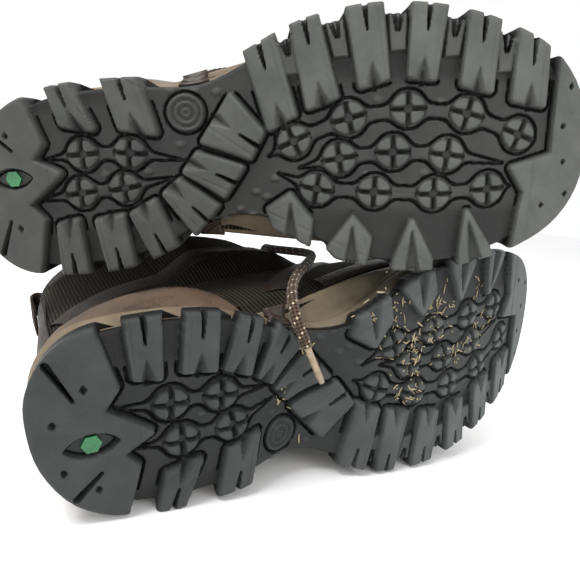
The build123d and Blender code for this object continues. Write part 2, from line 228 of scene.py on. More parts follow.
def braid(name, side, points, radius=LACE_RADIUS, pitch=0.8):
    """A round braided lace along smooth points, with its carriers standing a little proud."""
    path = resample(smooth_path(points), pitch)

    def radius_at(run, turn):
        weave = math.cos(4 * turn + 2.0 * run) * math.cos(4 * turn - 2.0 * run)
        return radius * (0.985 + 0.05 * weave)

    verts, faces, uv = tube_mesh(path, radius_at)
    piece = add_mesh(name, side, verts, faces)
    layer = piece.data.uv_layers.new(name="braid")
    order = uv
    if side == "left":
        order = []
        start = 0
        for face in faces:
            corners = uv[start:start + len(face)]
            order.extend([corners[0]] + corners[:0:-1])
            start += len(face)
    layer.data.foreach_set("uv", [value for pair in order for value in pair])
    return piece, path


# ---------------------------------------------------------------- shader helpers


def shader(name, **sockets):
    """A material with its Principled shader's own sockets set."""
    made = bpy.data.materials.new(name)
    made.use_nodes = True
    surface = made.node_tree.nodes["Principled BSDF"]
    for socket, value in sockets.items():
        surface.inputs[socket.replace("_", " ")].default_value = value
    return made, made.node_tree, surface


def add_node(tree, kind, inputs=None, **settings):
    made = tree.nodes.new(kind)
    for key, value in settings.items():
        setattr(made, key, value)
    for socket, value in (inputs or {}).items():
        if isinstance(value, bpy.types.NodeSocket):
            tree.links.new(value, made.inputs[socket])
        else:
            made.inputs[socket].default_value = value
    return made


def math_node(tree, operation, first, second=0.0, clamp=False):
    made = add_node(tree, "ShaderNodeMath", {0: first, 1: second}, operation=operation, use_clamp=clamp)
    return made.outputs[0]


def times(tree, first, second):
    return math_node(tree, "MULTIPLY", first, second)


def plus(tree, first, second, clamp=False):
    return math_node(tree, "ADD", first, second, clamp)


def grey(value):
    return (value, value, value)


def scaled(colour, factor):
    return tuple(factor * v for v in colour)


def ramp(tree, value, stops):
    """Colours along a value: stops are (position, (r, g, b)) in linear light."""
    made = add_node(tree, "ShaderNodeValToRGB", {"Fac": value})
    elements = made.color_ramp.elements
    while len(elements) < len(stops):
        elements.new(0.5)
    for element, (position, colour) in zip(elements, stops):
        element.position = position
        element.color = (*colour, 1.0)
    return made.outputs["Color"]


def mix(tree, factor, first, second, blend="MIX"):
    made = add_node(tree, "ShaderNodeMix", data_type="RGBA", blend_type=blend)
    for socket, value in ((0, factor), (6, first), (7, second)):
        if isinstance(value, bpy.types.NodeSocket):
            tree.links.new(value, made.inputs[socket])
        elif socket == 0:
            made.inputs[0].default_value = value
        else:
            made.inputs[socket].default_value = (*value, 1.0)
    return made.outputs[2]


def noise(tree, place, scale, detail=3.0, rough=0.55):
    sockets = {"Vector": place, "Scale": scale, "Detail": detail, "Roughness": rough}
    return add_node(tree, "ShaderNodeTexNoise", sockets).outputs["Fac"]


def bump(tree, surface, height, depth_mm, under=None):
    """Raises the surface by height (0 to 1) times depth_mm."""
    made = add_node(tree, "ShaderNodeBump", {"Height": height, "Strength": 1.0, "Distance": depth_mm * MM})
    if under is not None:
        tree.links.new(under, made.inputs["Normal"])
    tree.links.new(made.outputs["Normal"], surface.inputs["Normal"])
    return made.outputs["Normal"]


def boot_place(tree, side):
    """The point in the boot's own frame, in millimetres, from the object's coordinates."""
    origin, toe, inner, leg = boot_axes(side)
    where = add_node(tree, "ShaderNodeTexCoord").outputs["Object"]
    moved = add_node(tree, "ShaderNodeVectorMath", {0: where, 1: origin}, operation="SUBTRACT").outputs[0]
    parts = []
    for axis in (toe, inner, leg):
        along = add_node(tree, "ShaderNodeVectorMath", {0: moved, 1: axis / MM}, operation="DOT_PRODUCT")
        parts.append(along.outputs["Value"])
    return add_node(tree, "ShaderNodeCombineXYZ", dict(zip("XYZ", parts))).outputs[0]


def split(tree, vector):
    made = add_node(tree, "ShaderNodeSeparateXYZ", {0: vector})
    return made.outputs[0], made.outputs[1], made.outputs[2]


def paint(tree, surface, tint, tone=None):
    """Links the colour to the surface, first multiplied by tone where there is one."""
    if tone is not None:
        tint = mix(tree, 1.0, tint, tone, "MULTIPLY")
    tree.links.new(tint, surface.inputs["Base Color"])


# ---------------------------------------------------------------- materials


# Near-black painted shade for the bottoms of the grooves and slits.
GROOVE_SHADE_BLACK = (0.003, 0.0032, 0.0034)


def rubber(side):
    """Tread rubber: grey lug tops, painted shade darkening the plates and turning the grooves near black,
    fine grain and dust.
    """
    made, tree, surface = shader(side + "_outsole_rubber", Roughness=0.55, Specular_IOR_Level=0.3)
    place = boot_place(tree, side)
    along = math_node(tree, "DIVIDE", split(tree, place)[0], 300.0)
    # Darker at the heel and lighter towards the toe, the left boot's toe lighter still.
    toe_gain = 1.15 if side == "right" else 1.55
    heel_to_toe_tone = ramp(tree, along, [(0.1, grey(0.66)), (0.5, grey(0.92)), (0.8, grey(toe_gain))])
    stored = add_node(tree, "ShaderNodeAttribute", attribute_name="depth").outputs["Fac"]
    depth = math_node(tree, "DIVIDE", stored, 10.0)
    top = (0.074, 0.078, 0.074) if side == "right" else (0.052, 0.058, 0.057)
    # Painted shade: the rubber darkens with the stored depth, plates darker than the lug tops, grooves near
    # black, walls and lip dark.
    tint = ramp(tree, depth, [
        (0.0, top), (0.08, scaled(top, 0.92)), (0.22, scaled(top, 0.80)), (0.34, scaled(top, 0.42)),
        (0.45, scaled(top, 0.22)), (0.52, GROOVE_SHADE_BLACK), (0.62, GROOVE_SHADE_BLACK), (0.80, (0.022, 0.022, 0.021)),
    ])
    scuffs = ramp(tree, noise(tree, place, 0.05, 6.0, 0.62), [(0.35, grey(0.80)), (0.68, (1.22, 1.2, 1.15))])
    tint = mix(tree, 1.0, mix(tree, 1.0, tint, scuffs, "MULTIPLY"), heel_to_toe_tone, "MULTIPLY")
    specks = ramp(tree, noise(tree, place, 1.7, 2.0, 0.7), [(0.60, grey(0)), (0.74, grey(1))])
    paint(tree, surface, mix(tree, times(tree, specks, 0.22), tint, (0.14, 0.135, 0.125)))
    grain = plus(tree, noise(tree, place, 2.4, 3.0, 0.6), noise(tree, place, 0.35, 3.0, 0.5))
    bump(tree, surface, grain, 0.16)
    return made


def foam(side, name, light, dark):
    """Moulded foam, darker towards the toe, with dirt and fine scuffs."""
    made, tree, surface = shader(f"{side}_{name}", Roughness=0.66, Specular_IOR_Level=0.3)
    place = boot_place(tree, side)
    forward = math_node(tree, "DIVIDE", split(tree, place)[0], 310.0, clamp=True)
    tint = ramp(tree, forward, [(0.0, light), (0.42, light), (0.62, dark), (1.0, dark)])
    dirt = ramp(tree, noise(tree, place, 0.06, 5.0, 0.65), [(0.3, (0.72, 0.7, 0.66)), (0.7, grey(1.15))])
    paint(tree, surface, tint, dirt)
    bump(tree, surface, noise(tree, place, 1.1, 4.0, 0.6), 0.14)
    return made


def leather(side, name, dark, light, wear):
    """Oiled leather: creased grain, darker pores, rubbed pale where it has worn."""
    made, tree, surface = shader(f"{side}_{name}", Roughness=0.6, Specular_IOR_Level=0.25,
                                 Coat_Weight=0.02, Coat_Roughness=0.4)
    place = boot_place(tree, side)
    pebbles = add_node(tree, "ShaderNodeTexVoronoi", {"Vector": place, "Scale": 0.75, "Randomness": 1.0},
                       feature="DISTANCE_TO_EDGE").outputs["Distance"]
    broad = noise(tree, place, 0.035, 7.0, 0.68)
    pale_from = 0.30 + 0.42 * (1.05 - wear)
    tint = ramp(tree, broad, [(0.30, dark), (pale_from, light), (0.80, scaled(light, 1.35))])
    pores = ramp(tree, pebbles, [(0.0, (0.55, 0.52, 0.5)), (0.16, grey(1))])
    paint(tree, surface, mix(tree, 0.75, tint, mix(tree, 1.0, tint, pores, "MULTIPLY")))
    shine = ramp(tree, broad, [(0.3, grey(0.42)), (0.7, grey(0.64))])
    tree.links.new(shine, surface.inputs["Roughness"])
    creases = bump(tree, surface, noise(tree, place, 0.16, 6.0, 0.7), 1.1)
    bump(tree, surface, ramp(tree, pebbles, [(0.0, grey(0)), (0.22, grey(1))]), 0.16, creases)
    return made


def ribbed_mesh(side, name, base, thread, pitch=2.1):
    """Dark ballistic mesh: upright ribs crossed by fine threads, with olive yarn showing."""
    made, tree, surface = shader(f"{side}_{name}", Roughness=0.9, Specular_IOR_Level=0.08,
                                 Sheen_Weight=0.04, Sheen_Roughness=0.5)
    place = boot_place(tree, side)
    x, y, z = split(tree, place)
    wobble = times(tree, noise(tree, place, 0.11, 2.0), 1.3)
    across = plus(tree, plus(tree, x, times(tree, y, 0.35)), wobble)
    ribs = math_node(tree, "SINE", times(tree, across, 2 * math.pi / pitch))
    yarns = math_node(tree, "SINE", times(tree, z, 2 * math.pi / 1.25))
    weave = plus(tree, plus(tree, times(tree, ribs, 0.34), times(tree, yarns, 0.16)), 0.5, clamp=True)
    tint = ramp(tree, weave, [(0.15, scaled(base, 0.25)), (0.55, base), (0.93, thread)])
    worn = ramp(tree, noise(tree, place, 0.05, 4.0), [(0.3, grey(0.7)), (0.7, (1.25, 1.2, 1.1))])
    paint(tree, surface, tint, worn)
    bump(tree, surface, weave, 0.7)
    return made


def knit(side, name, base, light, scale=1.0):
    """Soft cloth: small loops in rows and a nap."""
    made, tree, surface = shader(f"{side}_{name}", Roughness=0.9, Specular_IOR_Level=0.15,
                                 Sheen_Weight=0.35, Sheen_Roughness=0.4)
    place = boot_place(tree, side)
    sockets = {"Vector": place, "Scale": 0.95 * scale, "Randomness": 0.35}
    cells = add_node(tree, "ShaderNodeTexVoronoi", sockets, feature="F1").outputs["Distance"]
    tint = ramp(tree, cells, [(0.0, light), (0.5, base), (0.9, scaled(base, 0.35))])
    worn = ramp(tree, noise(tree, place, 0.05, 4.0), [(0.3, grey(0.75)), (0.7, grey(1.2))])
    paint(tree, surface, tint, worn)
    bump(tree, surface, ramp(tree, cells, [(0.0, grey(1)), (0.8, grey(0))]), 0.35)
    return made


def braid_cloth(side):
    """Brown round braid with cream flecks in slanting rows."""
    made, tree, surface = shader(side + "_lace_braid", Roughness=0.78, Specular_IOR_Level=0.25,
                                 Sheen_Weight=0.2, Sheen_Roughness=0.4)
    where = add_node(tree, "ShaderNodeUVMap", uv_map="braid").outputs[0]
    turn, run, _ = split(tree, where)
    angle = times(tree, turn, 8 * math.pi)
    step = times(tree, run, 2.0)
    right_hand = math_node(tree, "COSINE", plus(tree, angle, step))
    left_hand = math_node(tree, "COSINE", math_node(tree, "SUBTRACT", angle, step))
    weave = plus(tree, times(tree, times(tree, right_hand, left_hand), 0.5), 0.5)
    brown = (0.062, 0.036, 0.022)
    tint = ramp(tree, weave, [(0.1, (0.012, 0.007, 0.004)), (0.6, brown), (1.0, (0.115, 0.07, 0.045))])
    rows = math_node(tree, "COSINE", plus(tree, times(tree, turn, 4 * math.pi), run))
    fleck = times(tree, ramp(tree, rows, [(0.45, grey(0)), (0.72, grey(1))]),
                  ramp(tree, weave, [(0.52, grey(0)), (0.72, grey(1))]))
    paint(tree, surface, mix(tree, fleck, tint, (0.48, 0.40, 0.28)))
    bump(tree, surface, weave, 0.35)
    return made


def plain(side, name, colour, roughness, grain=1.0, depth=0.1, **sockets):
    """A moulded or metal finish: faint grain and uneven tone."""
    made, tree, surface = shader(f"{side}_{name}", Roughness=roughness, **sockets)
    place = boot_place(tree, side)
    patches = noise(tree, place, 0.16 * grain, 5.0, 0.6)
    paint(tree, surface, ramp(tree, patches, [(0.3, scaled(colour, 0.68)), (0.7, scaled(colour, 1.2))]))
    dull = grey(min(1.0, 1.2 * roughness))
    shine = ramp(tree, noise(tree, place, 0.5 * grain, 3.0), [(0.3, grey(0.8 * roughness)), (0.7, dull)])
    tree.links.new(shine, surface.inputs["Roughness"])
    bump(tree, surface, noise(tree, place, 1.6 * grain, 3.0), depth)
    return made


def make_materials(side):
    return {
        "rubber": rubber(side),
        "foam": foam(side, "khaki_foam", (0.170, 0.132, 0.090), (0.075, 0.070, 0.047)),
        "block": plain(side, "brown_block", (0.035, 0.021, 0.014), 0.5),
        "leather": leather(side, "brown_leather", (0.026, 0.014, 0.010), (0.078, 0.047, 0.031), 0.65),
        "worn_leather": leather(side, "worn_leather", (0.026, 0.015, 0.011), (0.125, 0.084, 0.056), 0.7),
        "dark_leather": leather(side, "dark_leather", (0.010, 0.006, 0.004), (0.030, 0.018, 0.012), 0.3),
        "mesh": ribbed_mesh(side, "dark_textile", (0.012, 0.010, 0.008), (0.050, 0.040, 0.022)),
        "webbing": ribbed_mesh(side, "webbing", (0.020, 0.013, 0.010), (0.075, 0.05, 0.036), 1.3),
        "collar": knit(side, "collar_cloth", (0.042, 0.026, 0.020), (0.085, 0.055, 0.042)),
        "tongue": knit(side, "tongue_cloth", (0.030, 0.022, 0.017), (0.060, 0.045, 0.034), 0.7),
        "lining": knit(side, "lining_cloth", (0.022, 0.018, 0.016), (0.05, 0.042, 0.036), 1.3),
        "footbed": knit(side, "footbed_foam", (0.024, 0.024, 0.026), (0.055, 0.055, 0.060), 1.6),
        "board": plain(side, "board", (0.42, 0.33, 0.22), 0.9),
        "stiffener": plain(side, "stiffener", (0.55, 0.50, 0.42), 0.6),
        "steel": plain(side, "steel_shank", (0.50, 0.50, 0.50), 0.3, Metallic=1.0),
        "metal": plain(side, "dark_metal", (0.075, 0.060, 0.045), 0.36, depth=0.03, Metallic=1.0),
        "gem": plain(side, "green_gem", (0.006, 0.170, 0.045), 0.3, depth=0.02, Coat_Weight=0.5,
                     Coat_Roughness=0.12, Transmission_Weight=0.1),
        "lace": braid_cloth(side),
        "dark_thread": plain(side, "dark_thread", (0.045, 0.032, 0.024), 0.8, 4.0),
        "straw": plain(side, "straw", (0.40, 0.34, 0.21), 0.85, 3.0),
        "aglet": plain(side, "aglet_film", (0.34, 0.25, 0.16), 0.3, Coat_Weight=0.6, Coat_Roughness=0.2),
    }


MATERIALS = {side: make_materials(side) for side in SIDES}

# ---------------------------------------------------------------- the free lace end and its aglet

lace_end, lace_line = braid("lace_end", "left", LACE_ROUTE)
finish_piece(lace_end, "left", "lace", "lace_end")


def aglet_profile(run, turn):
    """Radius of the film: a thicker rim, faint ridges from the braid and a narrower tip."""
    if run < 1.0:
        return 1.95
    ridges = 0.04 * math.cos(4 * turn + 2.4 * run)
    return (1.7 + ridges) * (1.0 if run < 19.5 else 0.86)


aglet_line = resample([LACE_ROUTE[-1], AGLET_END], 0.7)
verts, faces, _ = tube_mesh(aglet_line, aglet_profile)
aglet = add_mesh("lace_aglet", "left", verts, faces)
finish_piece(aglet, "left", "aglet", "lace_aglet")
path_metres = [boot_matrix("left") @ point for point, _ in lace_line]
tuple(boot_matrix("left") @ Vector(LACE_ROUTE[0]))

# ---------------------------------------------------------------- sole shape

ARCH_CENTRE = 128.0
ARCH_HALF_LENGTH = 38.0
ARCH_RISE = 8.8
PLATE_TOP = 9.5
TOE_SPRING = 0.0020
TOE_SPRING_START = 184.0
SOLE_OUTLINE = [
    (10, 14), (12, 28), (20, 40), (34, 47), (60, 48.5), (86, 46), (108, 38), (128, 31), (146, 29.5),
    (162, 35), (182, 46), (206, 54), (236, 56), (264, 50), (286, 40), (299, 24), (303, 2), (298, -20),
    (284, -38), (262, -50), (236, -58), (206, -61), (176, -57.5), (150, -48), (124, -40), (96, -41),
    (66, -41), (42, -36), (24, -25), (13, -6),
]
# Where the upper meets the midsole: X, Z.
FEATHER_LINE = [
    (0, 31), (30, 30), (75, 27), (105, 23), (130, 23), (165, 27), (200, 29), (240, 32), (275, 37), (312, 46),
]
# Sections of the upper: Z, back X, front X, half width at the heel, half width at the ball.
UPPER_SECTIONS = [
    (18, 20, 286, 35, 47), (40, 18, 293, 37.5, 50), (56, 19, 294, 37.5, 48.5), (70, 20, 284, 36.5, 44),
    (82, 21, 256, 35.5, 39.5), (95, 22, 226, 35, 36), (110, 24, 201, 36, 35), (128, 26, 181, 38.5, 38),
    (148, 27, 169, 41.5, 41), (170, 28, 164, 43.5, 42),
]


def ease(t):
    t = np.clip(t, 0.0, 1.0)
    return t * t * (3 - 2 * t)


def between(x, table):
    return float(np.interp(x, [row[0] for row in table], [row[1] for row in table]))


def tread(x):
    """Height of the tread face: raised under the arch and turned up at the toe."""
    arch = ARCH_RISE * ease(1 - np.abs(x - ARCH_CENTRE) / ARCH_HALF_LENGTH)
    return TOE_SPRING * np.maximum(0.0, x - TOE_SPRING_START) ** 2 + arch


def closed_curve(corners, per_side):
    """A smooth closed line through the corners (Catmull-Rom)."""
    corners = np.asarray(corners, float)
    before, after, beyond = np.roll(corners, 1, 0), np.roll(corners, -1, 0), np.roll(corners, -2, 0)
    points = []
    for p0, p1, p2, p3 in zip(before, corners, after, beyond):
        for t in np.arange(per_side) / per_side:
            points.append(0.5 * (2 * p1 + (p2 - p0) * t + (2 * p0 - 5 * p1 + 4 * p2 - p3) * t ** 2
                                 + (3 * p1 - p0 - 3 * p2 + p3) * t ** 3))
    return np.array(points)


def centre_line(x):
    return -3 + 7 * ((x - 150) / 150) ** 2


def upper_section(z):
    return [between(z, [(row[0], row[k]) for row in UPPER_SECTIONS]) for k in (1, 2, 3, 4)]


def upper_point(z, angle, inset=0.0):
    """A point of the upper's section at height z. Angle 0 is the heel, half a turn the toe."""
    back, front, heel_half, ball_half = upper_section(z)
    along = (1 - math.cos(angle)) / 2
    x = back + inset + (front - back - 2 * inset) * along
    half = heel_half + (ball_half - heel_half) * float(ease((along - 0.3) / 0.4)) - inset
    sine = math.sin(angle)
    return Vector((x, centre_line(x) + half * math.copysign(abs(sine) ** 0.75, sine), z))


def flank_point(x, z, flank, out=0.0):
    """The point of the upper's skin at (x, z) on a flank (1 inner, -1 outer), raised by out."""
    back, front, _, _ = upper_section(z)
    along = min(1.0, max(0.0, (x - back) / (front - back)))
    return upper_point(z, flank * math.acos(1 - 2 * along), -out)


# ---------------------------------------------------------------- tread pattern in plan


def polygon_distance(px, py, corners):
    """Distance to a polygon's edge, negative inside."""
    nearest = np.full(px.shape, 1e9)
    inside = np.zeros(px.shape, bool)
    for (ax, ay), (bx, by) in zip(corners, list(corners[1:]) + [corners[0]]):
        ex, ey = bx - ax, by - ay
        wx, wy = px - ax, py - ay
        t = np.clip((wx * ex + wy * ey) / (ex * ex + ey * ey), 0, 1)
        nearest = np.minimum(nearest, np.hypot(wx - t * ex, wy - t * ey))
        if ey != 0:
            inside ^= ((ay > py) != (by > py)) & (px < ex * (py - ay) / ey + ax)
    return np.where(inside, -nearest, nearest)


def capsule_distance(px, py, start, end, radius_start, radius_end):
    """Distance to a straight groove that tapers from one radius to another."""
    ex, ey = end[0] - start[0], end[1] - start[1]
    wx, wy = px - start[0], py - start[1]
    t = np.clip((wx * ex + wy * ey) / (ex * ex + ey * ey), 0, 1)
    return np.hypot(wx - t * ex, wy - t * ey) - (radius_start + (radius_end - radius_start) * t)


def soft_union(a, b, blend):
    h = np.clip(0.5 + 0.5 * (b - a) / blend, 0, 1)
    return b + (a - b) * h - blend * h * (1 - h)


def shrink(corners, amount):
    """The polygon moved inwards by amount, mitred."""
    corners = [Vector(c) for c in corners]
    area = sum(a.x * b.y - b.x * a.y for a, b in zip(corners, corners[1:] + corners[:1]))
    sign = 1 if area > 0 else -1
    moved = []
    for k, corner in enumerate(corners):
        into = (corner - corners[k - 1]).normalized()
        away = (corners[(k + 1) % len(corners)] - corner).normalized()
        normals = [Vector((-d.y, d.x)) * sign for d in (into, away)]
        bisector = (normals[0] + normals[1]).normalized()
        moved.append(corner + bisector * min(2.2, 1 / max(0.3, bisector.dot(normals[0]))) * amount)
    return [tuple(c) for c in moved]


# Side lugs: the two outer corners first, then the two inner ones.
SIDE_LUGS = [
    [(56, -39), (68, -40.5), (77, -19), (60, -22.5)], [(83, -41), (100, -40.5), (105, -15), (88, -19)],
    [(47.5, 47), (62, 48), (61, 21), (49.5, 23)], [(71.5, 47), (86, 45), (84, 20), (69, 22)],
    [(95, 42), (107, 37.5), (100, 14), (87, 20)], [(116, 34), (129, 20), (112, 5.5), (103.5, 12)],
    [(132, 16.5), (144, 2), (121, -6), (113.5, 3)], [(147, -1), (155, -13), (140, -31), (123, -10)],
    [(149, -45), (163, -52), (170, -19), (157, -13)], [(170, -55.5), (182, -58), (189, -25), (175, -21)],
    [(194, -60), (209, -60.5), (211, -31), (198, -28)],
    [(221.5, -59.5), (236, -57.5), (231, -29), (219, -31)],
    [(245.5, -54.5), (259, -50.5), (256, -22), (242, -26)],
    [(267.5, -46), (282, -38), (281, -14), (265, -18)],
]
POINTED_LUGS = [
    [(155, 31), (172, 41), (174, 28), (165, 15), (153, 22)],
    [(184, 47), (198, 51), (201, 38), (193, 27), (180, 42)],
    [(210, 54), (229, 55.5), (229, 50), (220, 30), (211, 49)],
    [(241, 54.5), (258, 51.5), (256, 46), (245, 28), (242, 45)],
]
HEEL_BLOCK = [
    (37, 47), (44, 21), (38, 13), (57, -1), (44, -8), (50, -15), (44, -36), (8, -40), (-2, 14), (8, 50),
]
TOE_BLOCK = [(288, -46), (286, -12), (285, 7), (265, 11), (272, 23), (266, 54), (312, 54), (312, -46)]
ARCH_LUGS = (5, 6, 7)       # these cross the waist and end inside the outline
CHAINS = [
    [(50, -8), (68, -9), (91, -8), (113, -3)], [(42, 11), (64, 9), (86, 8), (108, 5)],
    [(156, -2), (168, -8), (193, -16), (219, -18), (245, -14), (269, -3), (276, 0)],
    [(170, 4), (188, 1), (212, 0), (236, 3), (262, 9)],
    [(160, 6), (177, 14), (203, 17), (230, 20), (255, 20), (266, 20)],
]
POD_RADII = (8.2, 7.2)
MEDALLION = (118, -24)
GEM = (32, 0)
BUMPS = [
    (133, -32), (113, -34), (123, -33), (114, -10), (127, -15), (158, 8), (153, 16.5), (148, 14), (139, 22),
    (145, 25), (131, 27), (178, -14.5), (233, -20.5), (257, -12), (206, -23), (200, 9), (226, 10), (176, 4),
    (77, 1), (56, 2), (98, 1),
]
TOE_PITS = [(290, -5), (291, 11), (293, 26), (281, 30), (293, -22)]
HEEL_PITS = [(19, 12), (21, -9), (31, 24), (33, -20)]
HEEL_SLITS = [((19, 36), (27, 20)), ((24.5, -22), (34.5, -13))]
GROOVE_BOTTOM = 5.6        # depth of the narrow black grooves
SLIT_BOTTOM = 5.2          # depth of the slits in the lugs


def stretched(corners):
    """A side lug with its outer corners pushed past the edge of the sole."""
    outer_a, outer_b, inner_a, inner_b = (np.array(c, float) for c in corners)
    grown = [outer_a + (outer_a - inner_b) * 0.22, outer_b + (outer_b - inner_a) * 0.22, inner_a, inner_b]
    return [tuple(c) for c in grown]


def lug_frame(corners):
    """Middle of a lug's outer edge, middle of its inner edge and the unit vector outwards."""
    mouth = (np.array(corners[0], float) + corners[1]) / 2
    root = (np.array(corners[2], float) + corners[3]) / 2
    outward = (mouth - root) / np.linalg.norm(mouth - root)
    return mouth, root, outward


def chain_shape(px, py, chain):
    """One row of pods: round swellings on a narrow band that runs out to a point at each end."""
    shape = None
    for k, (start, end) in enumerate(zip(chain, chain[1:])):
        radii = (0.3 if k == 0 else 3.2, 0.3 if k == len(chain) - 2 else 3.2)
        run = capsule_distance(px, py, start, end, *radii)
        shape = run if shape is None else np.minimum(shape, run)
    for centre in chain[1:-1]:
        shape = soft_union(shape, np.hypot(px - centre[0], py - centre[1]) - 8.6, 3.0)
    return shape


def carve(depth, distance, half_width, bottom, soft=0.45):
    """Cuts a groove of that half width down to bottom, with steep walls."""
    inside = 1 - ease((distance - half_width) / soft)
    return depth + np.maximum(0, bottom - depth) * inside


def lug_distance(px, py):
    """Distance to the nearest lug or end block, negative on its top."""
    nearest = np.full(px.shape, 1e9)
    blocks = [stretched(c) if k not in ARCH_LUGS else c for k, c in enumerate(SIDE_LUGS)]
    for corners in blocks + POINTED_LUGS + [HEEL_BLOCK, TOE_BLOCK]:
        nearest = np.minimum(nearest, polygon_distance(px, py, shrink(corners, 1.1)) - 1.1)
    return nearest


def plate_depth(px, py, lugs):
    """The plates between the lugs: bumps, slit tabs in the gaps, a groove round the lugs' ends."""
    off_centre = np.abs(py - centre_line(px))
    waist = ease((px - 92) / 14) * ease((160 - px) / 14)
    depth = 3.7 + 0.9 * ease((off_centre - 24) / 8) * (1 - waist)
    for spot in BUMPS:
        depth = depth - 1.0 * ease(1.4 - np.hypot((px - spot[0]) / 2.3, (py - spot[1]) / 1.5))
    outer = SIDE_LUGS[8:]
    for first, second in zip(outer, outer[1:]):
        mouth = (np.array(first[1], float) + second[0]) / 2
        root = (np.array(first[2], float) + second[3]) / 2
        inward = (root - mouth) / np.linalg.norm(root - mouth)
        tab = [mouth - inward * 3 - (4.2, 0), mouth - inward * 3 + (4.2, 0), mouth + inward * 18 + (3.2, 0),
               mouth + inward * 18 - (3.2, 0)]
        shape = polygon_distance(px, py, [tuple(c) for c in tab])
        depth = np.minimum(depth, 2.4 + 2.2 * ease((shape + 0.4) / 1.2))
        for shift in (-2.7, 2.7):
            tip = tuple(mouth + inward * 10 + (0.2 * shift, 0))
            slit = capsule_distance(px, py, tuple(mouth - inward * 2 + (shift, 0)), tip, 0.7, 0.15)
            depth = carve(depth, slit, 0.1, GROOVE_BOTTOM)
    reach = np.abs(lugs - 1.9) + 2.0 * ease((off_centre - 27) / 4)
    return carve(depth, reach, 0.3, GROOVE_BOTTOM)


def pod_height(px, py, centre, along, depth):
    """One pod: four domed petals parted by a cross, in a shallow dish."""
    a = (px - centre[0]) * along[0] + (py - centre[1]) * along[1]
    b = -(px - centre[0]) * along[1] + (py - centre[1]) * along[0]
    out = np.hypot(a / POD_RADII[0], b / POD_RADII[1])
    rim = (out - 1) * POD_RADII[1]
    petal = -soft_union(soft_union(-rim, np.abs(a) - 0.55, 1.8), np.abs(b) - 0.55, 1.8)
    crown = 1.0 + 1.0 * np.clip(out, 0, 1) ** 2
    floor = 3.9 + 0.9 * np.exp(-((np.minimum(np.abs(a), np.abs(b)) / 0.5) ** 2)) * (out > 0.25)
    raised = crown + (floor - crown) * ease((petal + 0.9) / 0.8)
    return np.where(rim < 0, raised, depth)


def tread_plan(px, py):
    """Depth under the tread face for points of the plan."""
    lugs = lug_distance(px, py)
    depth = plate_depth(px, py, lugs)
    for chain in CHAINS:
        shape = chain_shape(px, py, chain)
        depth = np.where(shape < 0.2, 3.3 + 0.5 * ease(1 + shape / 2.0), depth)
        depth = carve(depth, np.abs(shape), 0.32, GROOVE_BOTTOM)
        line = np.array(chain, float)
        for k in range(1, len(line) - 1):
            along = (line[k + 1] - line[k - 1]) / np.linalg.norm(line[k + 1] - line[k - 1])
            depth = pod_height(px, py, line[k], along, depth)

    ring = np.hypot(px - MEDALLION[0], py - MEDALLION[1])
    depth = np.where(ring < 9.0, 3.0 + 0.5 * np.cos(ring * 2.1), depth)
    depth = carve(depth, np.abs(ring - 9.4), 0.3, 5.4)

    # Tops of the lugs, their walls and what is cut into them.
    top = 0.5 * ease((lugs + 1.0) / 1.0)
    depth = np.where(lugs < 0, top, np.minimum(depth, 0.5 + (depth - 0.5) * ease(lugs / 1.3)))
    for corners in SIDE_LUGS:
        mouth, root, outward = lug_frame(corners)
        slit = capsule_distance(px, py, mouth + outward * 4.0, mouth - outward * 9.5, 1.25, 0.25)
        depth = np.where(lugs < 1, carve(depth, slit, -0.25, SLIT_BOTTOM, 0.6), depth)
        aside = (px - root[0]) * outward[1] - (py - root[1]) * outward[0]
        u = 1 - ((px - root[0]) * outward[0] + (py - root[1]) * outward[1]) / 10.0
        v = np.abs(aside)
        notch = np.clip(1 - v / np.maximum(0.05, 3.6 * u), 0, 1) * np.clip(u, 0, 1.2) * 4.6
        depth = np.where((u > 0) & (u < 1.3), np.maximum(depth, notch), depth)
        facet = np.abs(aside + 5.0)
        depth = np.where(lugs < 0, depth + 0.35 * (1 - ease(facet / 0.8)), depth)
    for corners in POINTED_LUGS:
        middle = (np.array(corners[0], float) + corners[1]) / 2
        tip = np.array(corners[3], float)
        crest = capsule_distance(px, py, tip + (middle - tip) * 0.25, middle, 0.4, 3.2)
        depth = np.where(lugs < 0, np.maximum(depth, 3.0 * (1 - ease((crest + 1.4) / 2.2))), depth)
    for start, end in HEEL_SLITS:
        slit = capsule_distance(px, py, start, end, 0.95, 0.2)
        depth = carve(depth, slit, -0.1, SLIT_BOTTOM, 0.6)
    for pits, size in ((HEEL_PITS, 1.7), (TOE_PITS, 1.4)):
        for spot in pits:
            pit = np.abs(px - spot[0]) * 1.4 + np.abs(py - spot[1]) - size
            depth = np.where(lugs < 0, carve(depth, pit, -0.5, 2.6, 1.0), depth)
    upper_arc = np.hypot(px - GEM[0], py - GEM[1] - 9.2)
    lower_arc = np.hypot(px - GEM[0], py - GEM[1] + 9.2)
    eye = np.maximum(upper_arc, lower_arc) - 13.6
    depth = np.maximum(depth, 2.6 * (1 - ease((eye + 0.4) / 0.9)))
    return carve(depth, np.abs(eye), 0.15, 4.6, 0.5)


GRID = 0.56                # spacing of the sole's points
NOTCH = 4.2                # how far the side wall steps back between the lugs


def snapped(px, py, field, reach):
    """Moves grid points that lie within reach of the field's zero line onto it."""
    value = field(px, py)
    step = 0.05
    gx = (field(px + step, py) - field(px - step, py)) / (2 * step)
    gy = (field(px, py + step) - field(px, py - step)) / (2 * step)
    size = np.maximum(0.3, gx * gx + gy * gy)
    near = np.abs(value) < reach
    return np.where(near, px - value * gx / size, px), np.where(near, py - value * gy / size, py), near


